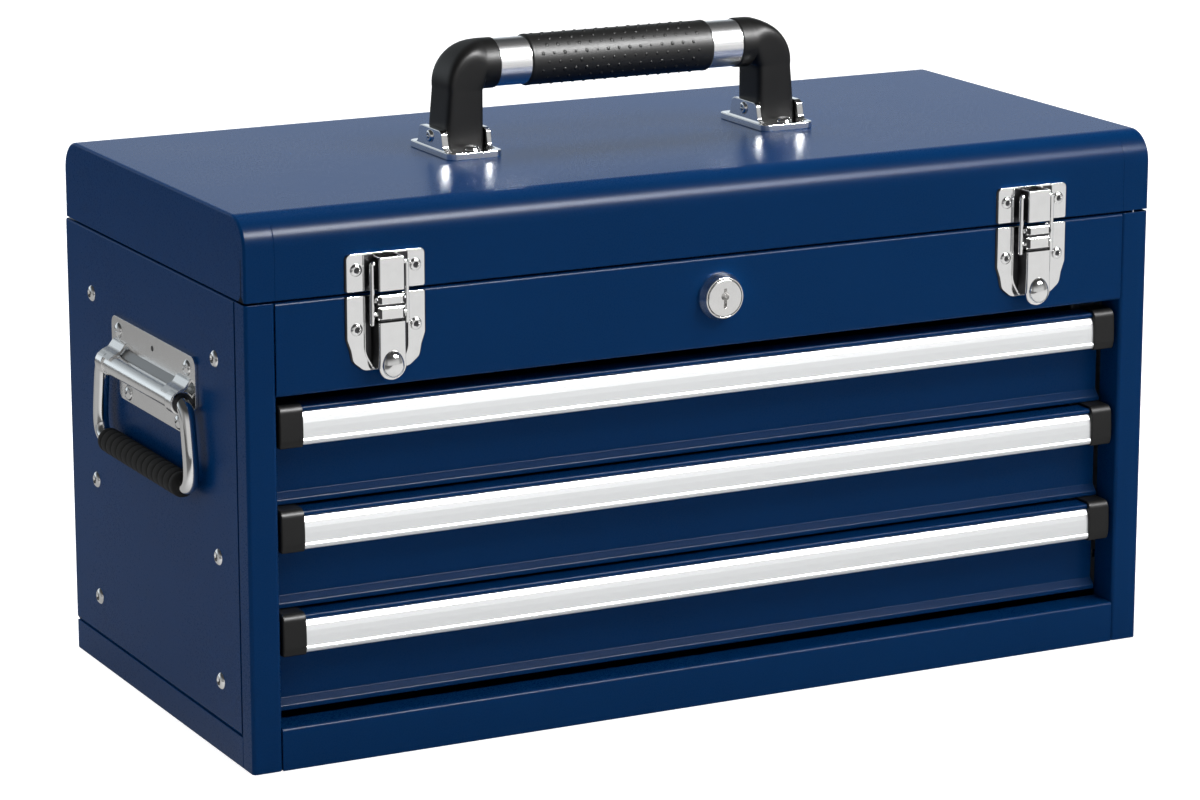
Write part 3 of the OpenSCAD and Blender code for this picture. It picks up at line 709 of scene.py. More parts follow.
class Repeater:
    """A Geometry Nodes tree with named inputs, which ends in real geometry with its finish."""

    NAME = ""
    INPUTS: tuple[Pair, ...] = ()

    def __init__(self) -> None:
        """Builds the tree."""
        self.tree = bpy.data.node_groups.new(self.NAME, "GeometryNodeTree")
        sockets = self.tree.interface
        self.keys = {name: sockets.new_socket(name=name, in_out="INPUT", socket_type=f"NodeSocket{kind}").identifier
                     for name, kind in self.INPUTS}
        sockets.new_socket(name="Result", in_out="OUTPUT", socket_type="NodeSocketGeometry")
        graph = Graph(self.tree)
        given = graph.add("NodeGroupInput").outputs
        item = graph.signal("GeometryNodeObjectInfo", sockets={"Object": given["Item"]}, output="Geometry")
        real = graph.signal("GeometryNodeRealizeInstances", sockets={"Geometry": self.repeat(graph, given, item)})
        dressed = graph.signal("GeometryNodeSetMaterial", sockets={"Geometry": real, "Material": given["Finish"]})
        graph.add("NodeGroupOutput", sockets={0: dressed})

    def repeat(self, graph: Graph, given: bpy.types.bpy_prop_collection, item: Signal) -> Signal:
        """Adds the nodes that repeat the item.

        Args:
            graph: The tree.
            given: The tree's inputs.
            item: The item's geometry.

        Returns:
            The instances.
        """
        raise NotImplementedError

    def apply(self, make: Make, thing: bpy.types.Object, item: Shape, values: dict) -> bpy.types.Object:
        """Runs the tree on an object and hands the plain mesh to its body.

        Args:
            make: The piece's name, body, finish and replaced nodes, and the item's bevel.
            thing: The object that the tree starts from.
            item: The item's shape about the origin.
            values: The other inputs by name.

        Returns:
            The finished piece.
        """
        model = make.item(item)
        nodes = thing.modifiers.new("repeat", "NODES")
        nodes.node_group = self.tree
        for name, value in {**values, "Item": model, "Finish": make.finish.material()}.items():
            nodes[self.keys[name]] = value
        bake(thing)
        bpy.data.objects.remove(model)
        return make.dress(thing)


class Scatter(Repeater):
    """Sets one item on each point of a seat mesh, turned to face its way."""

    NAME = "set_on_seats"
    INPUTS = (("Seats", "Geometry"), ("Item", "Object"), ("Spin", "Float"), ("Spread", "Float"), ("Seed", "Int"),
              ("Finish", "Material"))

    def repeat(self, graph: Graph, given: bpy.types.bpy_prop_collection, item: Signal) -> Signal:
        """Adds the nodes that turn, size and place the items, with the arguments of Repeater.repeat()."""
        facing = graph.signal("GeometryNodeInputNamedAttribute", {"data_type": "FLOAT_VECTOR"}, {"Name": "facing"})
        turned = graph.signal("FunctionNodeAlignRotationToVector", {"axis": "Z"}, {"Vector": facing})
        spin = self.chance(graph, given, 0.0, given["Spin"])
        about = graph.signal("FunctionNodeAxisAngleToRotation", sockets={"Axis": (0.0, 0.0, 1.0), "Angle": spin})
        rotation = graph.signal("FunctionNodeRotateRotation", {"rotation_space": "LOCAL"}, {0: turned, 1: about})
        spread = Signal(graph, given["Spread"])
        return graph.signal("GeometryNodeInstanceOnPoints", sockets={
            "Points": given["Seats"], "Instance": item, "Rotation": rotation,
            "Scale": self.chance(graph, given, 1.0 - spread, 1.0 + spread)})

    @staticmethod
    def chance(graph: Graph, given: bpy.types.bpy_prop_collection, low: object, high: object) -> Signal:
        """A random value for each seat.

        Args:
            graph: The tree.
            given: The tree's inputs, of which Seed is used.
            low: The least value.
            high: The largest value.

        Returns:
            The value.
        """
        return graph.signal("FunctionNodeRandomValue", {"data_type": "FLOAT"},
                            {2: low, 3: high, "Seed": given["Seed"]}, output=1)

    def place(self, make: Make, item: Shape, seats: Sequence[Seat], spin: float = 0.0, spread: float = 0.0,
              seed: int = 1) -> bpy.types.Object:
        """Makes one piece of many items.

        Args:
            make: The piece's name, body, finish and replaced nodes, and the item's bevel.
            item: The item's shape about the origin, with +Z out of the seat.
            seats: Each item's place in millimetres and the direction it faces.
            spin: Largest random turn about the item's own axis, in radians.
            spread: Largest random share by which an item grows or shrinks.
            seed: Seed of the random values.

        Returns:
            The finished piece.
        """
        mesh = bpy.data.meshes.new(make.name)
        mesh.from_pydata([Vector(p) * MM for p, _ in seats], [], [])
        facing = mesh.attributes.new("facing", "FLOAT_VECTOR", "POINT")
        facing.data.foreach_set("vector", [c for _, way in seats for c in way])
        return self.apply(make, linked(make.name, mesh), item, {"Spin": spin, "Spread": spread, "Seed": seed})


class Row(Repeater):
    """Repeats an item along a line in equal steps, beside a core."""

    NAME = "row_of_items"
    INPUTS = (("Core", "Geometry"), ("Item", "Object"), ("Count", "Int"), ("Start", "Vector"), ("Step", "Vector"),
              ("Finish", "Material"))

    def repeat(self, graph: Graph, given: bpy.types.bpy_prop_collection, item: Signal) -> Signal:
        """Adds the nodes that lay the items on a line, with the arguments of Repeater.repeat()."""
        line = graph.signal("GeometryNodeMeshLine", {"mode": "OFFSET"}, {
            "Count": given["Count"], "Start Location": given["Start"], "Offset": given["Step"]})
        placed = graph.signal("GeometryNodeInstanceOnPoints", sockets={"Points": line, "Instance": item})
        whole = graph.add("GeometryNodeJoinGeometry", sockets={0: given["Core"]})
        graph.feed(whole.inputs[0], placed)
        return Signal(graph, whole.outputs[0])

    def place(self, make: Make, core: Shape, item: Shape, count: int, start: Triple,
              step: Triple) -> bpy.types.Object:
        """Makes one piece of a core and a row of items.

        Args:
            make: The piece's name, body, finish and replaced nodes, and the bevel.
            core: What the items sit on, in place.
            item: The item's shape about the origin.
            count: Number of items.
            start: Place of the first item in millimetres.
            step: From one item to the next in millimetres.

        Returns:
            The finished piece.
        """
        return self.apply(make, make.item(core), item, {
            "Count": count, "Start": tuple(c * MM for c in start), "Step": tuple(c * MM for c in step)})


# ---- places -------------------------------------------------------------------------------------


def along_x(y: float, z: float, x: float) -> Vector:
    """A profile drawn in Y and Z and pulled along X."""
    return Vector((x, y, z))


def upright(x: float, y: float, z: float) -> Vector:
    """A profile drawn in X and Y and pulled along Z."""
    return Vector((x, y, z))


def round_x(y: float, z: float) -> Place:
    """Turns a profile about an axis along X that passes (y, z)."""
    return lambda a, b, x: Vector((x, y + a, z + b))


def on_front(middle: float) -> Place:
    """Puts (across, height, out) on the front of the box.

    Args:
        middle: X of the piece's middle.

    Returns:
        The placing function.
    """
    return lambda across, height, out: Vector((middle + across, FRONT - out, height))


def on_side(side: Side) -> Place:
    """Puts (Y, Z, out) on an end of the box.

    Args:
        side: Which end.

    Returns:
        The placing function.
    """
    return lambda y, z, out: Vector((side.value * (HALF_WIDTH + out), y, z))


def moved(place: Place, a: float, b: float, c: float = 0.0) -> Place:
    """A placing function whose origin is moved by (a, b, c)."""
    return lambda u, v, w: place(u + a, v + b, w + c)


# ---- rivets and screws ----------------------------------------------------------------------------


@dataclass(frozen=True)
class Rivet:
    """A domed blind rivet: its profile, and a dark disc of painted shade in the hollow in its middle."""

    profile: tuple[Pair, ...]
    sides: int
    hollow: float
    floor: float

    def place(self, scatter: Scatter, stem: str, body: str, seats: Sequence[Seat],
              replaces: tuple[str, ...] = ()) -> None:
        """Sets the rivets of one body.

        Args:
            scatter: Places them.
            stem: How the two pieces' names start.
            body: The body that carries them.
            seats: Each rivet's place and direction.
            replaces: The CAD nodes that they stand for.
        """
        head = Shape().lathe(self.profile, upright, self.sides)
        scatter.place(Make(f"{stem}_rivets", body, CHROME, replaces, bevel=0.0), head, seats)
        r, z = self.hollow, self.floor
        # A dark disc in each hollow is painted shade.
        well = Shape().lathe([(0.0, z - 0.2), (r * 0.6, z - 0.1), (r, z), (r, z - 0.3), (0.0, z - 0.4)], upright, 16)
        scatter.place(Make(f"{stem}_rivet_hollows", body, PAINTED_SHADE, bevel=0.0), well, seats)


SIDE_RIVET = Rivet(((0.0, -0.1), (1.7, -0.1), (1.85, 1.3), (2.15, 1.6), (2.7, 1.5), (3.5, 1.05), (4.1, 0.45),
                    (4.4, 0.0), (4.35, -0.2), (0.0, -0.2)), 28, 1.8, 0.7)
LATCH_RIVET = Rivet(((0.0, 0.05), (1.25, 0.05), (1.35, 1.0), (1.6, 1.3), (2.0, 1.3), (2.75, 0.95), (3.2, 0.35),
                     (3.25, -0.1), (0.0, -0.1)), 24, 1.35, 0.6)


def latch_seats(across: float, height: float) -> list[Seat]:
    """The seats of a pair of rivets on both latches.

    Args:
        across: Distance of a rivet from the latch's middle.
        height: The rivets' height.

    Returns:
        Four seats.
    """
    return [((side.value * LATCH_X + s * across, FRONT - LATCH_PLATE, height), (0.0, -1.0, 0.0))
            for side in Side for s in (-1, 1)]


def slotted(head: Shape, floor: float) -> Shape:
    """A screw head with a straight slot.

    Args:
        head: The plain head about the origin.
        floor: Height of the slot's floor.

    Returns:
        The slotted head.
    """
    return carved(head, Shape().prism([(-6, -0.45), (6, -0.45), (6, 0.45), (-6, 0.45)], upright, floor, 4.0))


# ---- case ---------------------------------------------------------------------------------------


@dataclass
class Case:
    """The fixed sheet metal, the slides inside and the rivets."""

    scatter: Scatter
    rivet_y: tuple[float, ...] = (-83.0, 86.3)
    rivet_z: tuple[float, ...] = (38.1, 102.3, 203.1)
    latch_rivet: Pair = (15.8, 219.8)

    PANELS = ("bottom_pan", "back_panel", "post_left", "post_right", "bottom_rail", "lock_panel", "till_tray")
    SEAM_Y = -109.7
    SEAM = 1.3
    STEELWORK = ("slide_uprights", "slide_rails", "lock_nut")

    def build(self) -> None:
        """Builds the panels, the steelwork and the rivets."""
        for node in self.PANELS:
            Make(f"{node}_sheet", "case", PAINT, (node,), bevel=0.42, segments=3).from_node(node)
        for side in Side:
            node = f"side_panel_{side.tag}"
            Make(f"{node}_sheet", "case", PAINT, (node,), bevel=0.35).from_node(node, self.open_seam)
        for node in self.STEELWORK:
            Make(f"{node}_steel", "case", ZINC, (node,), bevel=0.15, segments=1).from_node(node)
        self.rivets()

    def open_seam(self, corner: Vector) -> Vector:
        """Draws the side panel's front edge back from the post, so that the seam shows."""
        if abs(corner.y - self.SEAM_Y * MM) < 0.15 * MM and abs(corner.x) > (HALF_WIDTH - SHEET - 0.05) * MM:
            return Vector((corner.x, corner.y + self.SEAM * MM, corner.z))
        return corner

    def rivets(self) -> None:
        """Sets the blind rivets of both sides and of the latch bases."""
        seats = [((side.value * HALF_WIDTH, y, z), (float(side.value), 0.0, 0.0))
                 for side in Side for y in self.rivet_y for z in self.rivet_z]
        SIDE_RIVET.place(self.scatter, "side", "case", seats, ("case_rivets",))
        LATCH_RIVET.place(self.scatter, "latch_base", "case", latch_seats(*self.latch_rivet))


# ---- lid ----------------------------------------------------------------------------------------


@dataclass
class Lid:
    """The lid's skin with its rolled front and back edges, and the strike inside."""

    scatter: Scatter
    roll: float = 16.0
    end_round: float = 1.5
    rivet: Pair = (15.8, 249.4)
    seam_x: float = 244.0
    seam_depth: float = 0.3
    flange_y: float = -118.5

    def outline(self, inset: float) -> list[Pair]:
        """The lid's outline in Y and Z from the front lower edge over the top to the back.

        Args:
            inset: Distance inside the outer face.

        Returns:
            The open line's points.
        """
        y, z, r = BACK - self.roll, LID_TOP - self.roll, self.roll - inset
        return ([(FRONT + inset, LID_BOTTOM)] + arc((-y, z), r, 180, 90, 18)
                + arc((y, z), r, 90, 0, 18) + [(BACK - inset, LID_BOTTOM)])

    def build(self) -> None:
        """Builds the skin, the hem, the painted shadows of the corner seams and the rivets of the keepers."""
        self.skin()
        Make("lock_strike_steel", "lid", ZINC, ("lock_strike",), bevel=0.2).from_node("lock_strike")
        LATCH_RIVET.place(self.scatter, "latch_keeper", "lid", latch_seats(*self.rivet), ("keeper_rivets",))

    def skin(self) -> None:
        """One sheet: rolled front and back edges, and ends that meet them over a small radius."""
        steps = 4
        turns = [math.radians(90.0 * i / steps) for i in range(steps + 1)]
        ends = [(HALF_WIDTH - self.end_round * (1 - math.cos(a)), self.end_round * (1 - math.sin(a))) for a in turns]
        seam = [(self.seam_x + 0.35, 0.0), (self.seam_x, -1.0), (self.seam_x - 0.35, 0.0)]
        half = [*ends, *seam]
        outer = [[Vector((end * x, y, z)) for y, z in (self.seam_line() if inset < 0 else self.outline(inset))]
                 for end, part in ((-1, half), (1, half[::-1])) for x, inset in part]
        inner = [[Vector((end * (HALF_WIDTH - SHEET), y, z)) for y, z in self.outline(2 * SHEET)]
                 for end in (-1, 1)]
        shape = Shape()
        self._open_skin(shape, outer)
        self._open_skin(shape, inner)
        self._hem(shape, outer, inner)
        Make("lid_skin", "lid", PAINT, ("lid_shell", "lid_end_left", "lid_end_right"), bevel=0.0).from_shape(shape)
        # Painted shadow: a dark strip and notch on each end along the seam behind the rolled front edge.
        y = self.flange_y
        joint = [(y - 3.2, LID_BOTTOM), (y + 3.4, LID_BOTTOM), (y + 0.5, LID_BOTTOM + 3.0), (y + 0.4, 259.0),
                 (y - 0.4, 259.0), (y - 0.5, LID_BOTTOM + 3.0)]
        lines = Shape()
        for side in Side:
            lines.prism(joint, on_side(side), -0.4, 0.03)
        Make("lid_corner_joints", "lid", SHADOW, bevel=0.0).from_shape(lines)

    def seam_line(self) -> list[Pair]:
        """The outline in the seam, which is open on the front and closes over the rolled edge."""
        line = self.outline(0.0)
        sunk = self.outline(self.seam_depth)
        return [sunk[i] if i < 12 else line[i] for i in range(len(line))]

    @staticmethod
    def _open_skin(shape: Shape, lines: Sequence[Sequence[Vector]]) -> None:
        """Joins open lines and fills the first and last one.

        Args:
            shape: Takes the faces.
            lines: Lines of equally many points.
        """
        base, count = len(shape.points), len(lines[0])
        for line in lines:
            shape.points += [Vector(p) for p in line]
        for r in range(len(lines) - 1):
            a, b = base + r * count, base + (r + 1) * count
            for i in range(count - 1):
                shape.faces.append((a + i, a + i + 1, b + i + 1, b + i))
        last = base + (len(lines) - 1) * count
        shape.faces.append(tuple(range(base + count - 1, base - 1, -1)))
        shape.faces.append(tuple(range(last, last + count)))

    @staticmethod
    def _hem(shape: Shape, outer: Sequence[Sequence[Vector]], inner: Sequence[Sequence[Vector]]) -> None:
        """Closes the lower edge between the outer and the inner skin.

        Args:
            shape: Takes the faces.
            outer: The outer skin's lines.
            inner: The inner skin's lines.
        """
        def rim(lines: Sequence[Sequence[Vector]]) -> list[Vector]:
            """The lower edge of a skin: along the front and then back along the rear."""
            return [line[0] for line in lines] + [line[-1] for line in reversed(lines)]

        base = len(shape.points)
        out = rim(outer)
        shape.points += [Vector(p) for p in (*out, *rim(inner))]
        count, quarter = len(out), len(out) // 4
        for q in range(4):
            here, following = base + count + q, base + count + (q + 1) % 4
            edge = [base + i for i in range(q * quarter, (q + 1) * quarter)]
            shape.faces.append((*edge, here))
            shape.faces.append((edge[-1], base + (q + 1) * quarter % count, following, here))


# ---- hinge --------------------------------------------------------------------------------------


class Hinge:
    """The piano hinge behind the lid."""

    LEAVES = (("hinge_body_leaf", "case"), ("hinge_lid_leaf", "lid"), ("hinge_pin", "case"))

    def build(self) -> None:
        """Builds both leaves and the pin."""
        for node, body in self.LEAVES:
            Make(f"{node}_steel", body, ZINC, (node,), bevel=0.12, segments=1).from_node(node)


# ---- drawers ------------------------------------------------------------------------------------


@dataclass
class Drawer:
    """One drawer: its folded front, tray and runners, the pull bar and its two caps."""

    level: str
    index: int
    base: float = 26.7
    pitch: float = 52.8
    face: float = -105.5
    bar_z: float = 31.5
    reach: float = 242.4
    cap_length: float = 13.0

    @property
    def body(self) -> str:
        """The CAD body that carries this drawer."""
        return f"drawer_{self.level}"

    def at_bar(self, out: float, height: float) -> Pair:
        """A point of the bar's profile in Y and Z, from its distance out of the face and its height."""
        return self.face - out, self.base + self.index * self.pitch + self.bar_z + height

    def build(self) -> None:
        """Builds the drawer's pieces."""
        level = self.level
        Make(f"drawer_front_{level}_sheet", self.body, PAINT, (f"drawer_front_{level}",), bevel=0.4,
             segments=3).from_node(f"drawer_front_{level}")
        Make(f"drawer_tray_{level}_sheet", self.body, PAINT, (f"drawer_tray_{level}",), bevel=0.3).from_node(
            f"drawer_tray_{level}")
        Make(f"drawer_runners_{level}_steel", self.body, ZINC, (f"drawer_runners_{level}",), bevel=0.15,
             segments=1).from_node(f"drawer_runners_{level}")
        self.bar()
        self.caps()

    def bar(self) -> None:
        """The extruded pull bar: a bright top edge, a fluted brow, a crowned face and a lip below."""
        line = eased([(0.1, 16.0, 0), (11.0, 16.0, 0.9), (12.6, 13.9, 0.6), (13.1, 11.2, 1.6), (13.3, 8.4, 6.0),
                      (13.3, 3.4, 2.0), (13.9, 2.4, 0.4), (13.0, 0.85, 0.8), (7.5, 0.8, 0)], closed=False, steps=5)
        outline = [self.at_bar(a, b) for a, b in ribbon(line, 1.5)]
        end = self.reach - self.cap_length
        shape = Shape().prism(outline, along_x, -end, end)
        Make(f"drawer_bar_{self.level}_extrusion", self.body, ALUMINIUM, (f"drawer_bar_{self.level}",),
             bevel=0.12, angle=50.0).from_shape(shape)

    def caps(self) -> None:
        """The two moulded end caps: they wrap the shelf's ends, round off outwards and stand proud of the bar."""
        outline = eased([(0.0, -0.7, 0), (0.0, 17.05, 0), (12.15, 17.05, 0), (12.15, 19.6, 0), (0.2, 19.6, 0),
                         (0.2, 20.9, 0), (14.7, 20.9, 4.1), (15.4, 9.6, 12.0), (15.4, 3.4, 6.0),
                         (14.3, -0.7, 1.4)], steps=6)
        middle = Vector((5.5, 8.2))
        shape = Shape()
        for side in Side:
            rings = []
            for back, share in ((0.0, 0.995), (0.25, 1.0), (11.7, 1.0), (12.1, 0.985), (12.5, 0.95), (12.8, 0.91),
                                (13.0, 0.85)):
                x = side.value * (self.reach - self.cap_length + back)
                ring = []
                for p in outline:
                    q = middle + (Vector(p) - middle) * (share if p[0] > 6.0 or back > 12.0 else 1.0)
                    y, z = self.at_bar(max(0.0, q.x), q.y)
                    ring.append(Vector((x, y, z)))
                rings.append(ring)
            shape.skin(rings)
        Make(f"drawer_caps_{self.level}_moulding", self.body, PLASTIC, (f"drawer_caps_{self.level}",),
             bevel=0.25, angle=40.0).from_shape(shape)


# ---- latches ------------------------------------------------------------------------------------


@dataclass
class Latch:
    """A draw latch: base plate, keeper, pin, lever with its thumb dome, and the wire bail."""

    side: Side
    half: float = 20.8
    sheet: float = 1.3
    channel: float = 11.6
    lever_half: float = 7.0
    lever_out: float = 9.2
    lever_top: float = 223.6
    box_half: float = 6.7
    box_out: float = 8.8
    pivot: Pair = (5.8, 234.4)
    link: Pair = (5.4, 227.6)
    rod_x: float = 9.2
    wire: float = 1.3

    @property
    def place(self) -> Place:
        """Puts (across, height, out) at this latch."""
        return on_front(self.side.value * LATCH_X)

    def build(self) -> None:
        """Builds the latch's pieces."""
        self.base()
        self.keeper()
        self.lever()
        self.bail()

    def base(self) -> None:
        """The base plate, the edges of its channel, the pin, and painted shade: dark plate on the channel's floor, on
        the plate's flank and on the lugs.
        """
        right = [(self.half, 236.4, 0.8), (self.half, 215.2, 5.0), (18.8, 209.6, 8.0), (17.7, 203.6, 5.0),
                 (12.0, 199.0, 5.0)]
        around = mirrored(right)
        shape = Shape().prism(eased(around, steps=5), self.place, 0.0, self.sheet)
        for s in (-1, 1):
            line = eased([(s * self.channel, 236.2, 0.0), (s * self.channel, 207.5, 12.0), (s * 6.8, 199.6, 0.0)],
                         closed=False, steps=8)
            self._bead(shape, line, 1.0, 2.1)
        Make(f"latch_base_{self.side.tag}_plate", "case", CHROME, (f"latch_base_{self.side.tag}",),
             bevel=0.35, angle=35.0).from_shape(shape)
        # Painted shade: near-black plate over the channel's floor, round the plate's flank and on the pin's lugs.
        c = self.channel - 0.3
        floor = eased(mirrored([(-c, 236.2, 0.0), (-c, 207.4, 12.0), (-6.4, 199.8, 0.0)]), steps=8)
        shade_marks = Shape().prism(floor, self.place, self.sheet - 0.3, self.sheet + 0.12)
        self._rim(shade_marks, around)
        for s in (-1, 1):
            lug = eased([(0.9, 230.6, 0), (0.9, 236.4, 0), (6.6, 236.9, 2.2), (8.4, 234.4, 2.0), (7.0, 231.4, 2.0)],
                        steps=4)
            shade_marks.skin([[self.place(x, z, out) for out, z in lug]
                       for x in sorted((s * (self.lever_half + 0.15), s * (self.lever_half + 0.7)))])
        Make(f"latch_base_{self.side.tag}_channel", "case", PAINTED_SHADE, bevel=0.0).from_shape(shade_marks)
        pin = Shape().lathe([(0.0, -8.0), (1.1, -8.0), (1.5, -7.6), (1.5, 7.6), (1.1, 8.0), (0.0, 8.0)],
                            lambda a, b, c: self.place(c, self.pivot[1] + b, self.pivot[0] + a), 20)
        taken = ("latch_pins",) if self.side is Side.LEFT else ()
        Make(f"latch_pin_{self.side.tag}_rod", "case", CHROME, taken, bevel=0.0).from_shape(pin)

    def _rim(self, shape: Shape, corners: Sequence[tuple[float, float, float]]) -> None:
        """The flank of a plate in painted shade, which spreads towards the box.

        Args:
            shape: Takes the flank.
            corners: The plate's corners as (X, Z, radius).
        """
        rings = []
        for out, spread in ((-0.1, 0.8), (0.35, 0.75), (1.0, 0.15)):
            ring = eased([(x + math.copysign(spread, x), z, r) for x, z, r in corners], steps=5)
            rings.append([self.place(x, z, out) for x, z in ring])
        shape.skin(rings)

    def _bead(self, shape: Shape, line: Sequence[Pair], width: float, rise: float) -> None:
        """A raised rounded wall that follows a line on the front.

        Args:
            shape: Takes the wall.
            line: Points in X and Z.
            width: The wall's width.
            rise: How far it stands out of the box's front.
        """
        profile = [(-0.5, 0.4), (-0.5, rise - 0.5), (-0.32, rise - 0.12), (0.0, rise), (0.32, rise - 0.12),
                   (0.5, rise - 0.5), (0.5, 0.4)]
        outer = ribbon(line, width)
        count = len(line)
        left, right = outer[:count], list(reversed(outer[count:]))
        rings = []
        for a, b in zip(left, right):
            rings.append([self.place(a[0] + (b[0] - a[0]) * (s + 0.5), a[1] + (b[1] - a[1]) * (s + 0.5), out)
                          for s, out in profile])
        shape.skin(rings)

    def keeper(self) -> None:
        """The plate on the lid with its raised open box, and painted shade: dark strips in the channel round the box,
        on the box's sides and round the plate's flank.
        """
        low, high = 238.7, 257.4
        plate = eased([(-self.half, low, 0.8), (self.half, low, 0.8), (self.half, high, 2.6),
                       (-self.half, high, 2.6)], steps=5)
        shape = Shape().prism(plate, self.place, 0.0, self.sheet)
        for s in (-1, 1):
            edge = s * (self.channel + 0.2)
            self._bead(shape, [(edge, low + 0.2), (edge, 246.0), (edge, high - 0.6)], 0.9, 1.9)
        x, out, wall, foot, top = self.box_half, self.box_out, 1.0, 239.3, 255.9
        section = eased([(-x, 0.4, 0), (-x, out, 0.7), (x, out, 0.7), (x, 0.4, 0), (x - wall, 0.4, 0),
                         (x - wall, out - wall, 0.2), (-x + wall, out - wall, 0.2), (-x + wall, 0.4, 0)], steps=4)
        shape.skin([[self.place(a, z, b) for a, b in section] for z in (foot, top)])
        floor = [(-x + 0.4, foot + 0.3), (x - 0.4, foot + 0.3), (x - 0.4, foot + 1.6), (-x + 0.4, foot + 1.6)]
        shape.prism(floor, self.place, 0.5, out - 0.6)
        taken = ("latch_keepers",) if self.side is Side.LEFT else ()
        Make(f"latch_keeper_{self.side.tag}_plate", "lid", CHROME, taken, bevel=0.3, angle=35.0).from_shape(shape)
        # Painted shade: near-black strips round the plate's flank, in the channel and on the box's sides.
        w = self.half
        shade_marks = Shape()
        self._rim(shade_marks, [(-w, low, 0.8), (w, low, 0.8), (w, high - 0.1, 2.6), (-w, high - 0.1, 2.6)])
        for s in (-1, 1):
            a, b = sorted((s * (x - 0.3), s * self.channel))
            shade_marks.prism([(a, low + 0.2), (b, low + 0.2), (b, high - 0.9), (a, high - 0.9)], self.place,
                       self.sheet - 0.3, self.sheet + 0.12)
            a, b = sorted((s * (x - 0.2), s * (x + 0.06)))
            shade_marks.prism([(a, foot + 0.5), (b, foot + 0.5), (b, top - 0.6), (a, top - 0.6)], self.place, 1.2, out - 0.9)
        Make(f"latch_keeper_{self.side.tag}_channel", "lid", PAINTED_SHADE, bevel=0.0).from_shape(shade_marks)

    def lever(self) -> None:
        """The lever: two stepped blocks at the pin, a pressed face with its thumb dome, and its walls; the walls,
        lines beside the blocks and a patch behind them are painted shade.
        """
        half, out = self.lever_half, self.lever_out
        body = f"latch_lever_{self.side.tag}"
        # The second shape takes painted shade: dark lines beside the blocks, a dark patch behind them and the lever's
        # walls.
        shape, shade_marks = Shape(), Shape()
        for low, high in ((232.4, 236.9), (225.0, 231.0)):
            for reach, face, inset in ((half - 0.05, 7.4, 0.0), (half - 0.8, out - 0.1, 0.25)):
                block = eased([(3.2, low + inset, 0.2), (3.2, high - inset, 0.2), (face, high - inset, 0.3),
                               (face, low + inset, 0.3)], steps=4)
                shape.skin([[self.place(x, z, o) for o, z in block] for x in (-reach, reach)])
            for s in (-1, 1):
                a, b = sorted((s * (half - 1.45), s * (half - 0.74)))
                shade_marks.prism([(a, low + 0.7), (b, low + 0.7), (b, high - 0.7), (a, high - 0.7)], self.place, 7.0,
                           out - 0.06)
        shade_marks.prism([(-6.0, 223.0), (6.0, 223.0), (6.0, 236.0), (-6.0, 236.0)], self.place, 4.2, 6.9)
        tip = 202.2
        rows = [(self.lever_top, half), (212.0, half), (tip + 2.0, half + 0.1)]
        for i in range(1, 14):
            a = math.radians(i * 6.7)
            rows.append((tip + 0.2 - (half + 0.75) * math.sin(a), (half + 0.35) * math.cos(a) ** 0.92 + 0.02))
        rings = []
        for z, width in rows:
            round_off = max(0.0, (tip - z) / 8.0) ** 2
            face = out - 1.2 * round_off
            back = out - 1.5 - 1.6 * round_off
            e = min(0.8, width * 0.5)
            section = [(-width, back), (-width, face - e), (-width + 0.3 * e, face - 0.3 * e), (-width + e, face),
                       (width - e, face), (width - 0.3 * e, face - 0.3 * e), (width, face - e), (width, back)]
            rings.append([self.place(x, z, o) for x, o in section])
        shape.skin(rings)
        self._dome(shape, tip)
        Make(f"{body}_pressing", body, CHROME, (body,), bevel=0.0).from_shape(shape)
        for s in (-1, 1):
            flank = [(half - 1.0, out - 1.0), (half - 0.06, out - 1.0), (half + 0.05, 6.4), (half + 0.45, 3.8),
                     (half + 1.1, 1.7), (half - 1.0, 1.7)]
            shade_marks.skin([[self.place(s * x, z, o) for x, o in flank] for z in (200.8, self.lever_top - 0.3)])
        Make(f"{body}_walls", body, PAINTED_SHADE, bevel=0.0).from_shape(shade_marks)

    def _dome(self, shape: Shape, z: float) -> None:
        """The thumb dome: an oval bulge out of the lever's face, fuller at its lower end.

        Args:
            shape: Takes the dome.
            z: Its height.
        """
        rings = []
        steps = 12
        for i in range(steps + 1):
            a = math.radians(90.0 * i / steps)
            ring = []
            for k in range(40):
                t = math.tau * k / 40
                up = math.sin(t)
                share = math.cos(a) ** 0.9
                width, length = 5.9 * share, (7.6 if up > 0 else 6.2) * share
                ring.append(self.place(width * math.cos(t), z - 0.2 + length * up - 0.6 * math.sin(a),
                                       self.lever_out - 0.5 + 4.3 * math.sin(a)))
            rings.append(ring)
        shape.skin(rings)

    def bail(self) -> None:
        """The link: two rods that run past the lever's cross wire and hook into the keeper at the top."""
        r, top, foot = 1.6, 252.6, 222.4
        body = f"latch_bail_{self.side.tag}"
        shape = Shape()
        for s in (-1, 1):
            line = eased([(s * 7.6, top, 0), (s * self.rod_x, top, r), (s * self.rod_x, foot, 0)], closed=False,
                         steps=6)
            shape.tube([self.place(x, z, self.link[0]) for x, z in line], self.wire, 18)
        shape.tube([self.place(x, self.link[1], self.link[0]) for x in (-self.rod_x, self.rod_x)], self.wire, 18)
        Make(f"{body}_wire", body, CHROME, (body,), bevel=0.0).from_shape(shape)


# ---- lock ---------------------------------------------------------------------------------------


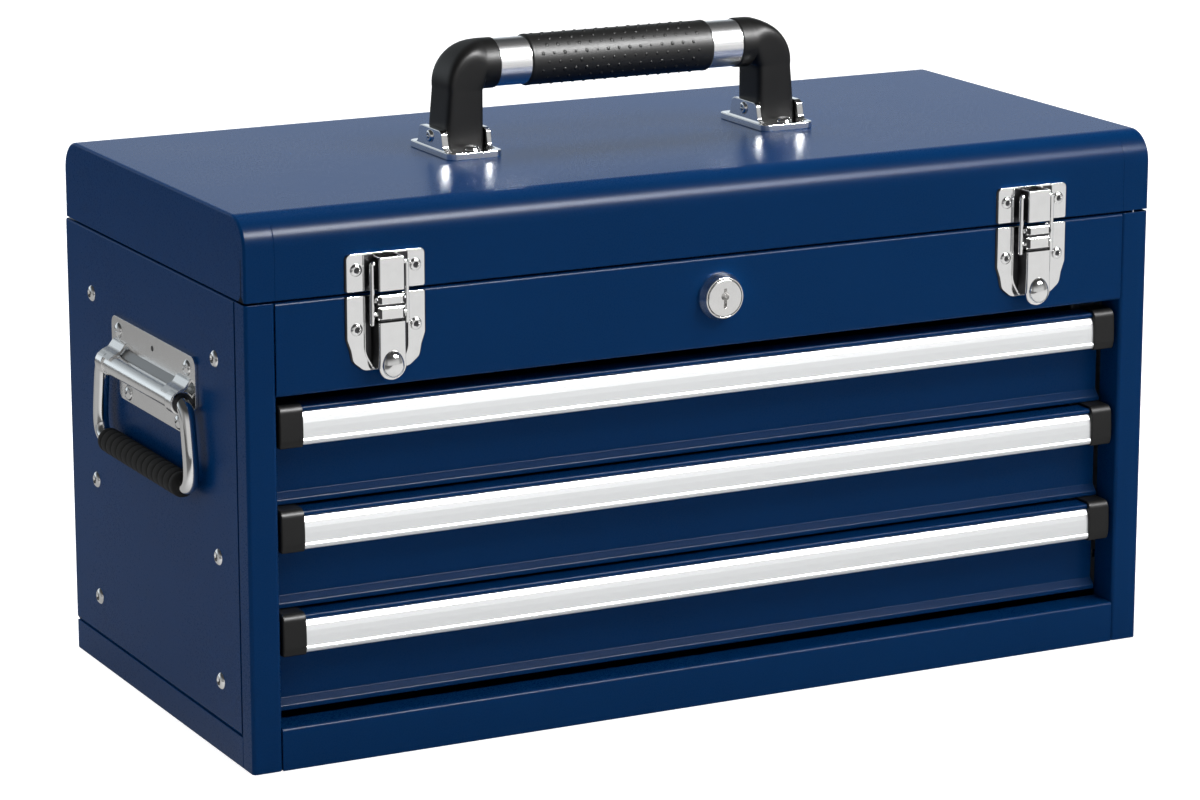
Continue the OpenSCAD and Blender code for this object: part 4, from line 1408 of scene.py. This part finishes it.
@dataclass
class CamLock:
    """The cam lock: bezel, plug with its keyway, cam."""

    height: float = 216.5
    bezel: float = 12.5
    plug: float = 9.6

    def build(self) -> None:
        """Builds the lock's pieces."""
        place = moved(on_front(0.0), 0.0, self.height)
        ring = Shape().lathe([(6.05, -18.0), (9.5, -18.0), (9.5, -0.2), (self.bezel, -0.1), (self.bezel, 1.3),
                              (self.bezel - 0.3, 1.8), (self.plug + 1.1, 5.7), (self.plug + 0.8, 6.0),
                              (self.plug + 0.35, 5.9), (self.plug + 0.25, 3.0), (6.05, 3.0)], place, 64, looped=True)
        Make("lock_bezel_turning", "case", SATIN_LOCK, ("lock_housing",), bevel=0.1, angle=50).from_shape(ring)
        body = Shape().lathe([(0.0, -18.4), (6.0, -18.4), (6.0, 3.2), (self.plug, 3.2), (self.plug, 5.8),
                              (self.plug - 0.2, 6.2), (self.plug - 0.7, 6.4), (0.0, 6.4)], place, 64)
        keyway = eased([(-0.95, -5.2, 0.2), (0.95, -5.2, 0.2), (0.85, -1.6, 0.2), (1.9, -0.6, 0.6), (2.3, 1.0, 0.8),
                        (1.7, 2.4, 0.8), (0.8, 3.0, 0.2), (0.9, 4.9, 0.2), (-0.8, 4.9, 0.2), (-0.9, 3.0, 0.2),
                        (-1.9, 2.2, 0.8), (-2.4, 0.8, 0.8), (-1.9, -0.6, 0.6), (-0.85, -1.6, 0.2)], steps=3)
        plug = carved(body, Shape().prism(keyway, place, 0.5, 8.0))
        Make("lock_plug_turning", "lock_core", SATIN_LOCK, ("lock_plug",), bevel=0.1, angle=50).from_shape(plug)
        Make("lock_cam_steel", "lock_core", ZINC, ("lock_cam",), bevel=0.15).from_node("lock_cam")


# ---- top handle ---------------------------------------------------------------------------------


@dataclass
class TopHandle:
    """The rigid carrying handle: feet, screws, elbows, tube and pimpled grip."""

    scatter: Scatter
    leg_x: float = 92.0
    y: float = -5.0
    foot: float = 3.6
    tube_z: float = 324.5
    tube_r: float = 12.5
    socket: float = 71.2
    grip_half: float = 53.3
    grip_r: float = 13.5
    foot_half: Pair = (15.5, 25.5)
    ears: tuple[Pair, ...] = ((-13.6, -11.0), (11.0, 14.6))

    def build(self) -> None:
        """Builds the handle's pieces."""
        self.feet()
        self.screws()
        for side in Side:
            self.elbow(side)
        self.tube()
        self.grip()

    def feet(self) -> None:
        """Each foot: a thick plate with eased corners and two ears that flow into it."""
        shape = Shape()
        for side in Side:
            centre = side.value * self.leg_x
            corners = [(a * self.foot_half[0], b * self.foot_half[1], 4.5)
                       for a, b in ((-1, -1), (1, -1), (1, 1), (-1, 1))]
            plate = [(centre + x, self.y + y) for x, y in eased(corners, steps=5)]
            shape.prism(plate, upright, LID_TOP, LID_TOP + self.foot)
            ear = eased(mirrored([(-19.5, 3.0, 0), (-19.0, 3.8, 0.4), (-15.6, 4.4, 5.0), (-13.6, 12.2, 2.2),
                                  (-11.2, 13.6, 3.0)]), steps=6)
            for ends in self.ears:
                low, high = sorted(side.value * end for end in ends)
                shape.prism([(self.y + a, LID_TOP + b) for a, b in ear], along_x, centre + low, centre + high)
        Make("handle_feet_castings", "lid", CHROME, ("handle_feet",), bevel=0.55, segments=3,
             angle=40).from_shape(shape)

    def screws(self) -> None:
        """Pan heads before and behind each leg, and the cross screws' heads on the ears."""
        pan = Shape().lathe([(0.0, 2.9), (1.6, 2.85), (2.9, 2.5), (3.8, 1.7), (4.3, 0.7), (4.4, 0.0), (4.4, -0.1),
                             (0.0, -0.1)], upright, 28)
        seats = [((side.value * self.leg_x, self.y + s * 19.5, LID_TOP + self.foot), (0.0, 0.0, 1.0))
                 for side in Side for s in (-1, 1)]
        make = Make("handle_foot_screws", "lid", CHROME, ("handle_screws",), bevel=0.1, angle=50)
        self.scatter.place(make, slotted(pan, 1.7), seats, spin=3.0, seed=4)
        cross = Shape().lathe([(0.0, 0.3), (1.5, 0.3), (1.7, 1.2), (2.4, 1.3), (3.0, 0.9), (3.3, 0.2), (3.3, -0.1),
                               (0.0, -0.1)], upright, 24)
        seats = [((side.value * (self.leg_x + end), self.y, LID_TOP + 9.2),
                  (math.copysign(side.value, end * side.value), 0.0, 0.0))
                 for side in Side for end in (self.ears[0][0], self.ears[1][1])]
        self.scatter.place(Make("handle_cross_screws", "lid", CHROME, bevel=0.0), cross, seats)

    def elbow(self, side: Side) -> None:
        """The moulded elbow: a rounded square leg that turns into a round socket for the tube.

        Args:
            side: Which end of the handle.
        """
        low, bend = LID_TOP + self.foot, 12.5
        rings = []
        straight = self.tube_z - bend
        stations: list[tuple[float, float, float]] = []
        for z in (low, low + 0.8, low + 7.0, low + 9.0, 300.0, straight):
            stations.append((self.leg_x, z, 0.0))
        for i in range(1, 13):
            a = math.radians(90.0 * i / 12)
            stations.append((self.leg_x - bend + bend * math.cos(a), straight + bend * math.sin(a), a))
        for x in (self.leg_x - bend - 1.5, self.socket + 0.9, self.socket + 0.25, self.socket):
            stations.append((x, self.tube_z, math.pi / 2))
        for i, (x, z, a) in enumerate(stations):
            along = min(1.0, max(0.0, (z - low) / (straight - low))) if a == 0.0 else 1.0
            turned = a / (math.pi / 2)
            skirt = 0.35 if z < low + 8.0 and a == 0.0 else 0.0
            inner = 11.0 + 0.9 * turned ** 2 + skirt
            outer = 11.0 - 2.2 * along ** 1.4 + 4.4 * turned + skirt
            deep = 12.5 + 0.7 * turned
            if a >= math.pi / 2 and x < self.leg_x - bend:
                ease = {len(stations) - 2: 0.15, len(stations) - 1: 0.5}.get(i, 0.0)
                inner = outer = deep = 13.2 - ease
            square = 2.0 + 6.0 * (1.0 - turned ** 1.5)
            ring = []
            for k in range(64):
                t = math.tau * k / 64
                c, s = math.cos(t), math.sin(t)
                u = math.copysign(abs(c) ** (2.0 / square), c)
                v = math.copysign(abs(s) ** (2.0 / square), s)
                offset = u * (outer if c > 0 else inner)
                ring.append(Vector((side.value * (x + offset * math.cos(a)), self.y + v * deep,
                                    z + offset * math.sin(a))))
            rings.append(ring)
        Make(f"handle_elbow_{side.tag}_moulding", "lid", PLASTIC, (f"handle_elbow_{side.tag}",),
             bevel=0.0).from_shape(Shape().skin(rings))

    def tube(self) -> None:
        """The bright tube."""
        x, r = self.leg_x - 12.0, self.tube_r
        shape = Shape().lathe([(r, -x), (r, x), (r - 1.5, x), (r - 1.5, -x)], round_x(self.y, self.tube_z), 72,
                              looped=True)
        Make("handle_tube_bright", "lid", BRIGHT_TUBE, ("handle_tube",), bevel=0.0).from_shape(shape)

    def grip(self) -> None:
        """The rubber grip with rolled ends, and the pimples that stand out of it."""
        x, r, t = self.grip_half, self.grip_r, self.tube_r - 0.2
        ends = [(t, -x), (r - 0.7, -x), (r - 0.25, -x + 0.2), (r, -x + 0.8), (r, -x + 2.2), (r - 0.18, -x + 2.6),
                (r - 0.18, x - 2.6), (r, x - 2.2), (r, x - 0.8), (r - 0.25, x - 0.2), (r - 0.7, x), (t, x)]
        Make("handle_grip_sleeve", "lid", GRIP_RUBBER, ("handle_grip",), bevel=0.0).from_shape(
            Shape().lathe(ends, round_x(self.y, self.tube_z), 72, looped=True))
        bump = Shape().lathe([(0.0, 0.24), (0.45, 0.21), (0.8, 0.08), (0.95, -0.1), (0.0, -0.15)], upright, 8)
        seats = []
        rows, columns = 18, 15
        for row in range(rows):
            a = math.tau * row / rows
            for column in range(columns):
                along = -x + 6.0 + (2 * x - 12.0) * (column + (0.5 if row % 2 else 0.0)) / columns
                away = (0.0, math.cos(a), math.sin(a))
                reach = r - 0.13
                seats.append(((along, self.y + reach * away[1], self.tube_z + reach * away[2]), away))
        self.scatter.place(Make("handle_grip_pimples", "lid", GRIP_RUBBER, bevel=0.0), bump, seats, spin=3.0,
                           spread=0.25, seed=7)


# ---- side handles -------------------------------------------------------------------------------


@dataclass
class SideHandle:
    """A folding handle: plate with its rolled barrel, screws, wire bail and ribbed grip."""

    scatter: Scatter
    row: Row
    side: Side
    middle: float = -3.0
    axis_out: float = 6.8
    axis_z: float = 175.4
    barrel: float = 5.5
    barrel_half: float = 53.0
    sleeve: float = 6.4
    sleeve_start: float = 44.0
    wire: float = 4.0
    grip_z: float = 133.3
    grip_half: float = 52.0
    grip_r: float = 6.6

    SCREWS = ((47.2, 191.9), (-47.2, 191.9), (34.6, 161.4), (-34.6, 161.4))

    @property
    def place(self) -> Place:
        """Puts (Y, Z, out) on this side, with Y from the handle's middle."""
        return moved(on_side(self.side), self.middle, 0.0)

    def around(self, height: float) -> Place:
        """Turns a profile about an axis along Y, as far out as the barrel and at one height."""
        return lambda a, b, along: self.place(along, height + b, self.axis_out + a)

    @property
    def body(self) -> str:
        """The CAD body of the bail and the grip."""
        return f"side_handle_{self.side.tag}"

    def build(self) -> None:
        """Builds the handle's pieces."""
        self.plate()
        self.screws()
        self.bail()
        self.grip()

    def plate(self) -> None:
        """The stamped plate, the barrel rolled out of it and the sloping web between them; the web is grey plate as
        painted shade, and dark discs of painted shade close the barrel's ends and stand where a hole is.
        """
        right = [(57.4, 198.7, 5.0), (57.4, 173.4, 2.5), (48.0, 167.4, 2.5), (48.0, 156.5, 4.5)]
        shape = Shape().prism(eased(mirrored(right), steps=6), self.place, 0.0, 1.6)
        r, bore, h, start = self.barrel, self.wire + 0.15, self.barrel_half, self.sleeve_start
        around = self.around(self.axis_z)
        shape.lathe([(bore, -start), (r - 0.2, -start), (r, -start + 0.2), (r, start - 0.2), (r - 0.2, start),
                     (bore, start)], around, 48, looped=True)
        for s in (-1, 1):
            a, b = sorted((s * start, s * h))
            shape.lathe([(bore, a), (self.sleeve - 0.4, a), (self.sleeve, a + 0.5), (self.sleeve, b - 0.5),
                         (self.sleeve - 0.4, b), (bore, b)], around, 48, looped=True)
            tab = eased([(1.0, self.axis_z + 11.2, 0), (2.4, self.axis_z + 10.6, 1.5),
                         (5.0, self.axis_z + 7.2, 3.0), (8.4, self.axis_z + 5.8, 3.0),
                         (self.axis_out + 4.6, self.axis_z + 3.6, 0)], closed=False, steps=7)
            a, b = sorted((s * 36.0, s * h))
            shape.skin([[self.place(y, z, out) for out, z in ribbon(tab, 1.3)] for y in (a, b)])
        Make(f"side_plate_{self.side.tag}_stamping", "case", SATIN_PLATE, (f"side_plate_{self.side.tag}",),
             bevel=0.3, angle=35.0).from_shape(shape)
        # The web's grey plate is painted shade under the barrel.
        web = eased([(1.2, self.axis_z + 8.2, 0), (2.0, self.axis_z + 7.5, 0.6), (5.4, self.axis_z + 4.3, 0)],
                    closed=False, steps=5)
        strip = Shape().skin([[self.place(y, z, out) for out, z in ribbon(web, 1.0)] for y in (-37.0, 37.0)])
        Make(f"side_plate_{self.side.tag}_web", "case", WEB, bevel=0.1).from_shape(strip)
        # Dark discs at the barrel's ends are painted shade.
        barrel_end_shade = Shape()
        for s in (-1, 1):
            a, b = sorted((s * (h - 1.5), s * (h + 0.5)))
            barrel_end_shade.lathe([(0.0, a), (self.sleeve - 1.0, a), (self.sleeve - 0.9, b), (0.0, b)], around, 36)
        Make(f"side_plate_{self.side.tag}_bushes", "case", PAINTED_SHADE, bevel=0.0).from_shape(barrel_end_shade)
        # A dark disc on the plate is painted shade where a hole is.
        hole = Shape().lathe([(0.0, 0.0), (1.5, 0.0), (1.5, 0.25), (0.0, 0.25)],
                             lambda a, b, c: self.place(a, 191.9 + b, 1.45 + c), 16)
        Make(f"side_plate_{self.side.tag}_hole", "case", PAINTED_SHADE, bevel=0.0).from_shape(hole)

    def screws(self) -> None:
        """The four slotted dome heads."""
        dome = Shape().lathe([(0.0, 1.95), (1.4, 1.85), (2.6, 1.45), (3.5, 0.8), (4.1, 0.15), (4.1, -0.1),
                              (0.0, -0.1)], upright, 28)
        way = (float(self.side.value), 0.0, 0.0)
        seats = [((self.side.value * (HALF_WIDTH + 1.6), self.middle + y, z), way) for y, z in self.SCREWS]
        taken = ("side_plate_screws",) if self.side is Side.LEFT else ()
        self.scatter.place(Make(f"side_plate_{self.side.tag}_screws", "case", CHROME, taken, bevel=0.1, angle=50),
                           slotted(dome, 0.9), seats, spin=3.0, seed=11 + self.side.value)

    def bail(self) -> None:
        """The bent wire: through the barrel, out and down two legs that spread, and into the grip."""
        top, low = self.axis_z, self.grip_z
        half = [(0.0, top), (40.0, top), (52.0, top - 0.1), (56.2, top - 1.6), (58.4, top - 5.0), (59.8, top - 10.4),
                (61.2, top - 18.4), (62.4, top - 26.4), (62.7, low + 9.7), (61.8, low + 4.7), (58.6, low + 1.3),
                (53.0, low), (40.0, low), (0.0, low)]
        line = half + [(-y, z) for y, z in reversed(half[:-1])]
        path = smooth_path([(y, z, self.axis_out) for y, z in line], 5)
        shape = Shape().tube([self.place(p.x, p.y, p.z) for p in path], self.wire, 24)
        Make(f"{self.body}_wire", self.body, CHROME, (f"side_bail_{self.side.tag}",), bevel=0.0).from_shape(shape)

    def grip(self) -> None:
        """The ribbed grip: a sleeve with end collars, and rings along it."""
        r, h = self.grip_r, self.grip_half
        core = Shape().lathe([(3.4, -h), (r - 1.0, -h), (r - 0.3, -h + 0.4), (r - 0.1, -h + 1.2), (r - 0.1, -h + 4.0),
                              (r - 0.7, -h + 4.6), (r - 0.7, h - 4.6), (r - 0.1, h - 4.0), (r - 0.1, h - 1.2),
                              (r - 0.3, h - 0.4), (r - 1.0, h), (3.4, h)], self.around(self.grip_z), 40, looped=True)
        count = 13
        span = 2 * (h - 5.0)
        step = span / count
        w = step / 2
        ring = Shape().lathe([(r - 1.2, -w), (r - 0.55, -w + 0.1), (r - 0.1, -w + 0.8), (r, -w * 0.35), (r, w * 0.35),
                              (r - 0.1, w - 0.8), (r - 0.55, w - 0.1), (r - 1.2, w)],
                             lambda a, b, c: Vector((a, c, b)), 40, looped=True)
        start = (self.side.value * (HALF_WIDTH + self.axis_out), self.middle - h + 5.0 + w, self.grip_z)
        self.row.place(Make(f"{self.body}_grip", self.body, RUBBER, (f"side_grip_{self.side.tag}",), bevel=0.0),
                       core, ring, count, start, (0.0, step, 0.0))


# ---- studio -------------------------------------------------------------------------------------


@dataclass(frozen=True)
class Softbox:
    """A soft rectangular lamp that points at the box."""

    name: str
    place: Triple
    along: Triple
    size: Pair
    radiance: float
    aim: Triple = (0.0, -0.05, 0.2)
    lights: bool = True
    mirrored: bool = True

    def build(self) -> None:
        """Adds the lamp, its long side along one direction and its face to the aim."""
        data = bpy.data.lights.new(self.name, "AREA")
        data.shape, data.size, data.size_y = "RECTANGLE", *self.size
        data.energy = math.pi * self.size[0] * self.size[1] * self.radiance
        back = (Vector(self.place) - Vector(self.aim)).normalized()
        across = back.cross(Vector(self.along)).normalized()
        turn = Matrix((across.cross(back), across, back)).transposed()
        lamp = linked(self.name, data)
        lamp.matrix_world = Matrix.Translation(self.place) @ turn.to_4x4()
        lamp.visible_diffuse, lamp.visible_glossy = self.lights, self.mirrored


@dataclass
class Studio:
    """The floor, the light and the camera."""

    place: Triple = (-1.0366, -2.0159, 0.6883)
    yaw: float = 27.09
    pitch: float = 13.707
    lens: float = 130.48
    ambient: float = 0.25
    horizon: float = 1.0
    zenith: float = 0.05
    backdrop: Triple = (0.86, 0.94, 1.0)
    lamps: tuple[Softbox, ...] = (
        Softbox("key_strip", (0.85, -1.08, 1.5), (0.766, 0.589, 0.258), (1.3, 0.6), 6.5, mirrored=False),
        Softbox("overhead", (0.0, 0.1, 1.9), (1.0, 0.0, 0.0), (1.6, 1.2), 1.1, mirrored=False),
        Softbox("rear_panel", (0.2, 1.3, 2.2), (1.0, 0.0, 0.0), (2.4, 1.2), 4.4, mirrored=False),
        Softbox("front_panel", (1.3, -2.4, 0.5), (1.0, 0.5, 0.0), (2.4, 0.9), 0.6, mirrored=False),
        Softbox("left_panel", (-2.0, 0.9, 0.9), (0.4, 0.9, 0.0), (1.8, 1.2), 1.2, mirrored=False),
        Softbox("glint_left", (0.46, -1.33, 1.5), (1.0, 0.0, 0.0), (0.46, 0.42), 130.0, lights=False),
        Softbox("glint_middle", (0.89, -1.33, 1.5), (1.0, 0.0, 0.0), (0.4, 0.42), 74.0, lights=False),
        Softbox("glint_right", (1.32, -1.33, 1.5), (1.0, 0.0, 0.0), (0.46, 0.42), 32.0, lights=False))

    def build(self) -> None:
        """Sets the scene's view, floor, world, lamps and camera."""
        scene = bpy.context.scene
        scene.view_settings.view_transform = "Standard"
        self.floor()
        self.world(scene)
        for lamp in self.lamps:
            lamp.build()
        data = bpy.data.cameras.new("camera")
        data.lens, data.sensor_width = self.lens, 36.0
        data.clip_start, data.clip_end = 0.05, 60.0
        camera = linked("camera", data)
        camera.location = self.place
        camera.rotation_euler = (math.radians(90.0 - self.pitch), 0.0, math.radians(-self.yaw))
        scene.camera = camera

    def floor(self) -> None:
        """A wide pale floor that is white to the camera and keeps the shadow. In reflections it is greyer and glows
        as painted reflection, strongest in front of the box and to its right.
        """
        mesh = bpy.data.meshes.new("floor")
        reach = 9.0
        mesh.from_pydata([(-reach, -reach, 0), (reach, -reach, 0), (reach, reach, 0), (-reach, reach, 0)], [],
                         [(0, 1, 2, 3)])
        linked("floor", mesh)
        made = bpy.data.materials.new("pale_floor")
        made.use_nodes = True
        made.node_tree.nodes.clear()
        graph = Graph(made.node_tree)
        path = graph.add("ShaderNodeLightPath").outputs
        seen, mirrored = Signal(graph, path["Is Camera Ray"]), Signal(graph, path["Is Glossy Ray"])
        # In reflections the floor's grey is darker.
        shade = 0.7 - mirrored * 0.6
        spot = graph.signal("ShaderNodeTexCoord", output="Object")
        x = graph.signal("ShaderNodeSeparateXYZ", sockets={0: spot}, output="X")
        y = graph.signal("ShaderNodeSeparateXYZ", sockets={0: spot}, output="Y")
        # Painted reflection: metal and paint see the floor glow, most in front of the box and to its right, less
        # close behind it, and faintly far behind and at the left front.
        reflection_glow = x.between(-0.8, -0.4).most(y.between(-0.25, 0.1)) * (1.0 - y.between(0.2, 1.5))
        ahead = 0.6 - y.between(-0.25, 0.1) * 0.34
        grey = graph.signal("ShaderNodeCombineColor", sockets={0: shade, 1: shade, 2: shade})
        matt = graph.add("ShaderNodeBsdfDiffuse", sockets={"Color": grey})
        glow = graph.add("ShaderNodeEmission", sockets={"Strength": seen * 0.76 + mirrored * (0.06 + reflection_glow * ahead)})
        both = graph.add("ShaderNodeAddShader", sockets={0: matt.outputs[0], 1: glow.outputs[0]})
        graph.add("ShaderNodeOutputMaterial", sockets={"Surface": both.outputs[0]})
        mesh.materials.append(made)

    def world(self, scene: bpy.types.Scene) -> None:
        """A dim surrounding that looks white to the camera, and in metal is light at the horizon and dark above.

        Args:
            scene: The scene that it belongs to.
        """
        world = bpy.data.worlds.new("studio")
        world.use_nodes = True
        world.node_tree.nodes.clear()
        graph = Graph(world.node_tree)
        path = graph.add("ShaderNodeLightPath").outputs
        camera = Signal(graph, path["Is Camera Ray"]).most(Signal(graph, path["Is Transmission Ray"]))
        way = graph.signal("ShaderNodeTexCoord", output="Generated")
        across, depth, height = (graph.signal("ShaderNodeSeparateXYZ", sockets={0: way}, output=c) for c in "XYZ")
        beside = across.math("ABSOLUTE", across).between(0.6, 0.9)
        level = self.zenith + ((1.0 - height.between(0.1, 0.62)) * (self.horizon - self.zenith)
                               * (1.0 - beside * 0.65) * (0.59 + depth.between(-0.5, 0.2) * 0.41))
        strength = (self.ambient + Signal(graph, path["Is Glossy Ray"]) * (level - self.ambient)
                    + camera * (1.0 - self.ambient))
        behind = Signal(graph, path["Is Glossy Ray"]) * depth.between(0.0, 0.5)
        tone = graph.mix(behind, (1.0, 1.0, 1.0), self.backdrop)
        glow = graph.add("ShaderNodeBackground", sockets={"Color": tone.socket, "Strength": strength})
        graph.add("ShaderNodeOutputWorld", sockets={"Surface": glow.outputs[0]})
        scene.world = world


def main() -> None:
    """Builds the scene."""
    logging.basicConfig(level=logging.INFO, format="%(name)s %(message)s")
    Studio().build()
    scatter, row = Scatter(), Row()
    Case(scatter).build()
    Lid(scatter).build()
    Hinge().build()
    for index, level in enumerate(("bottom", "middle", "top")):
        Drawer(level, index).build()
    for side in Side:
        Latch(side).build()
        SideHandle(scatter, row, side).build()
    CamLock().build()
    TopHandle(scatter).build()


if __name__ == "__main__":
    main()
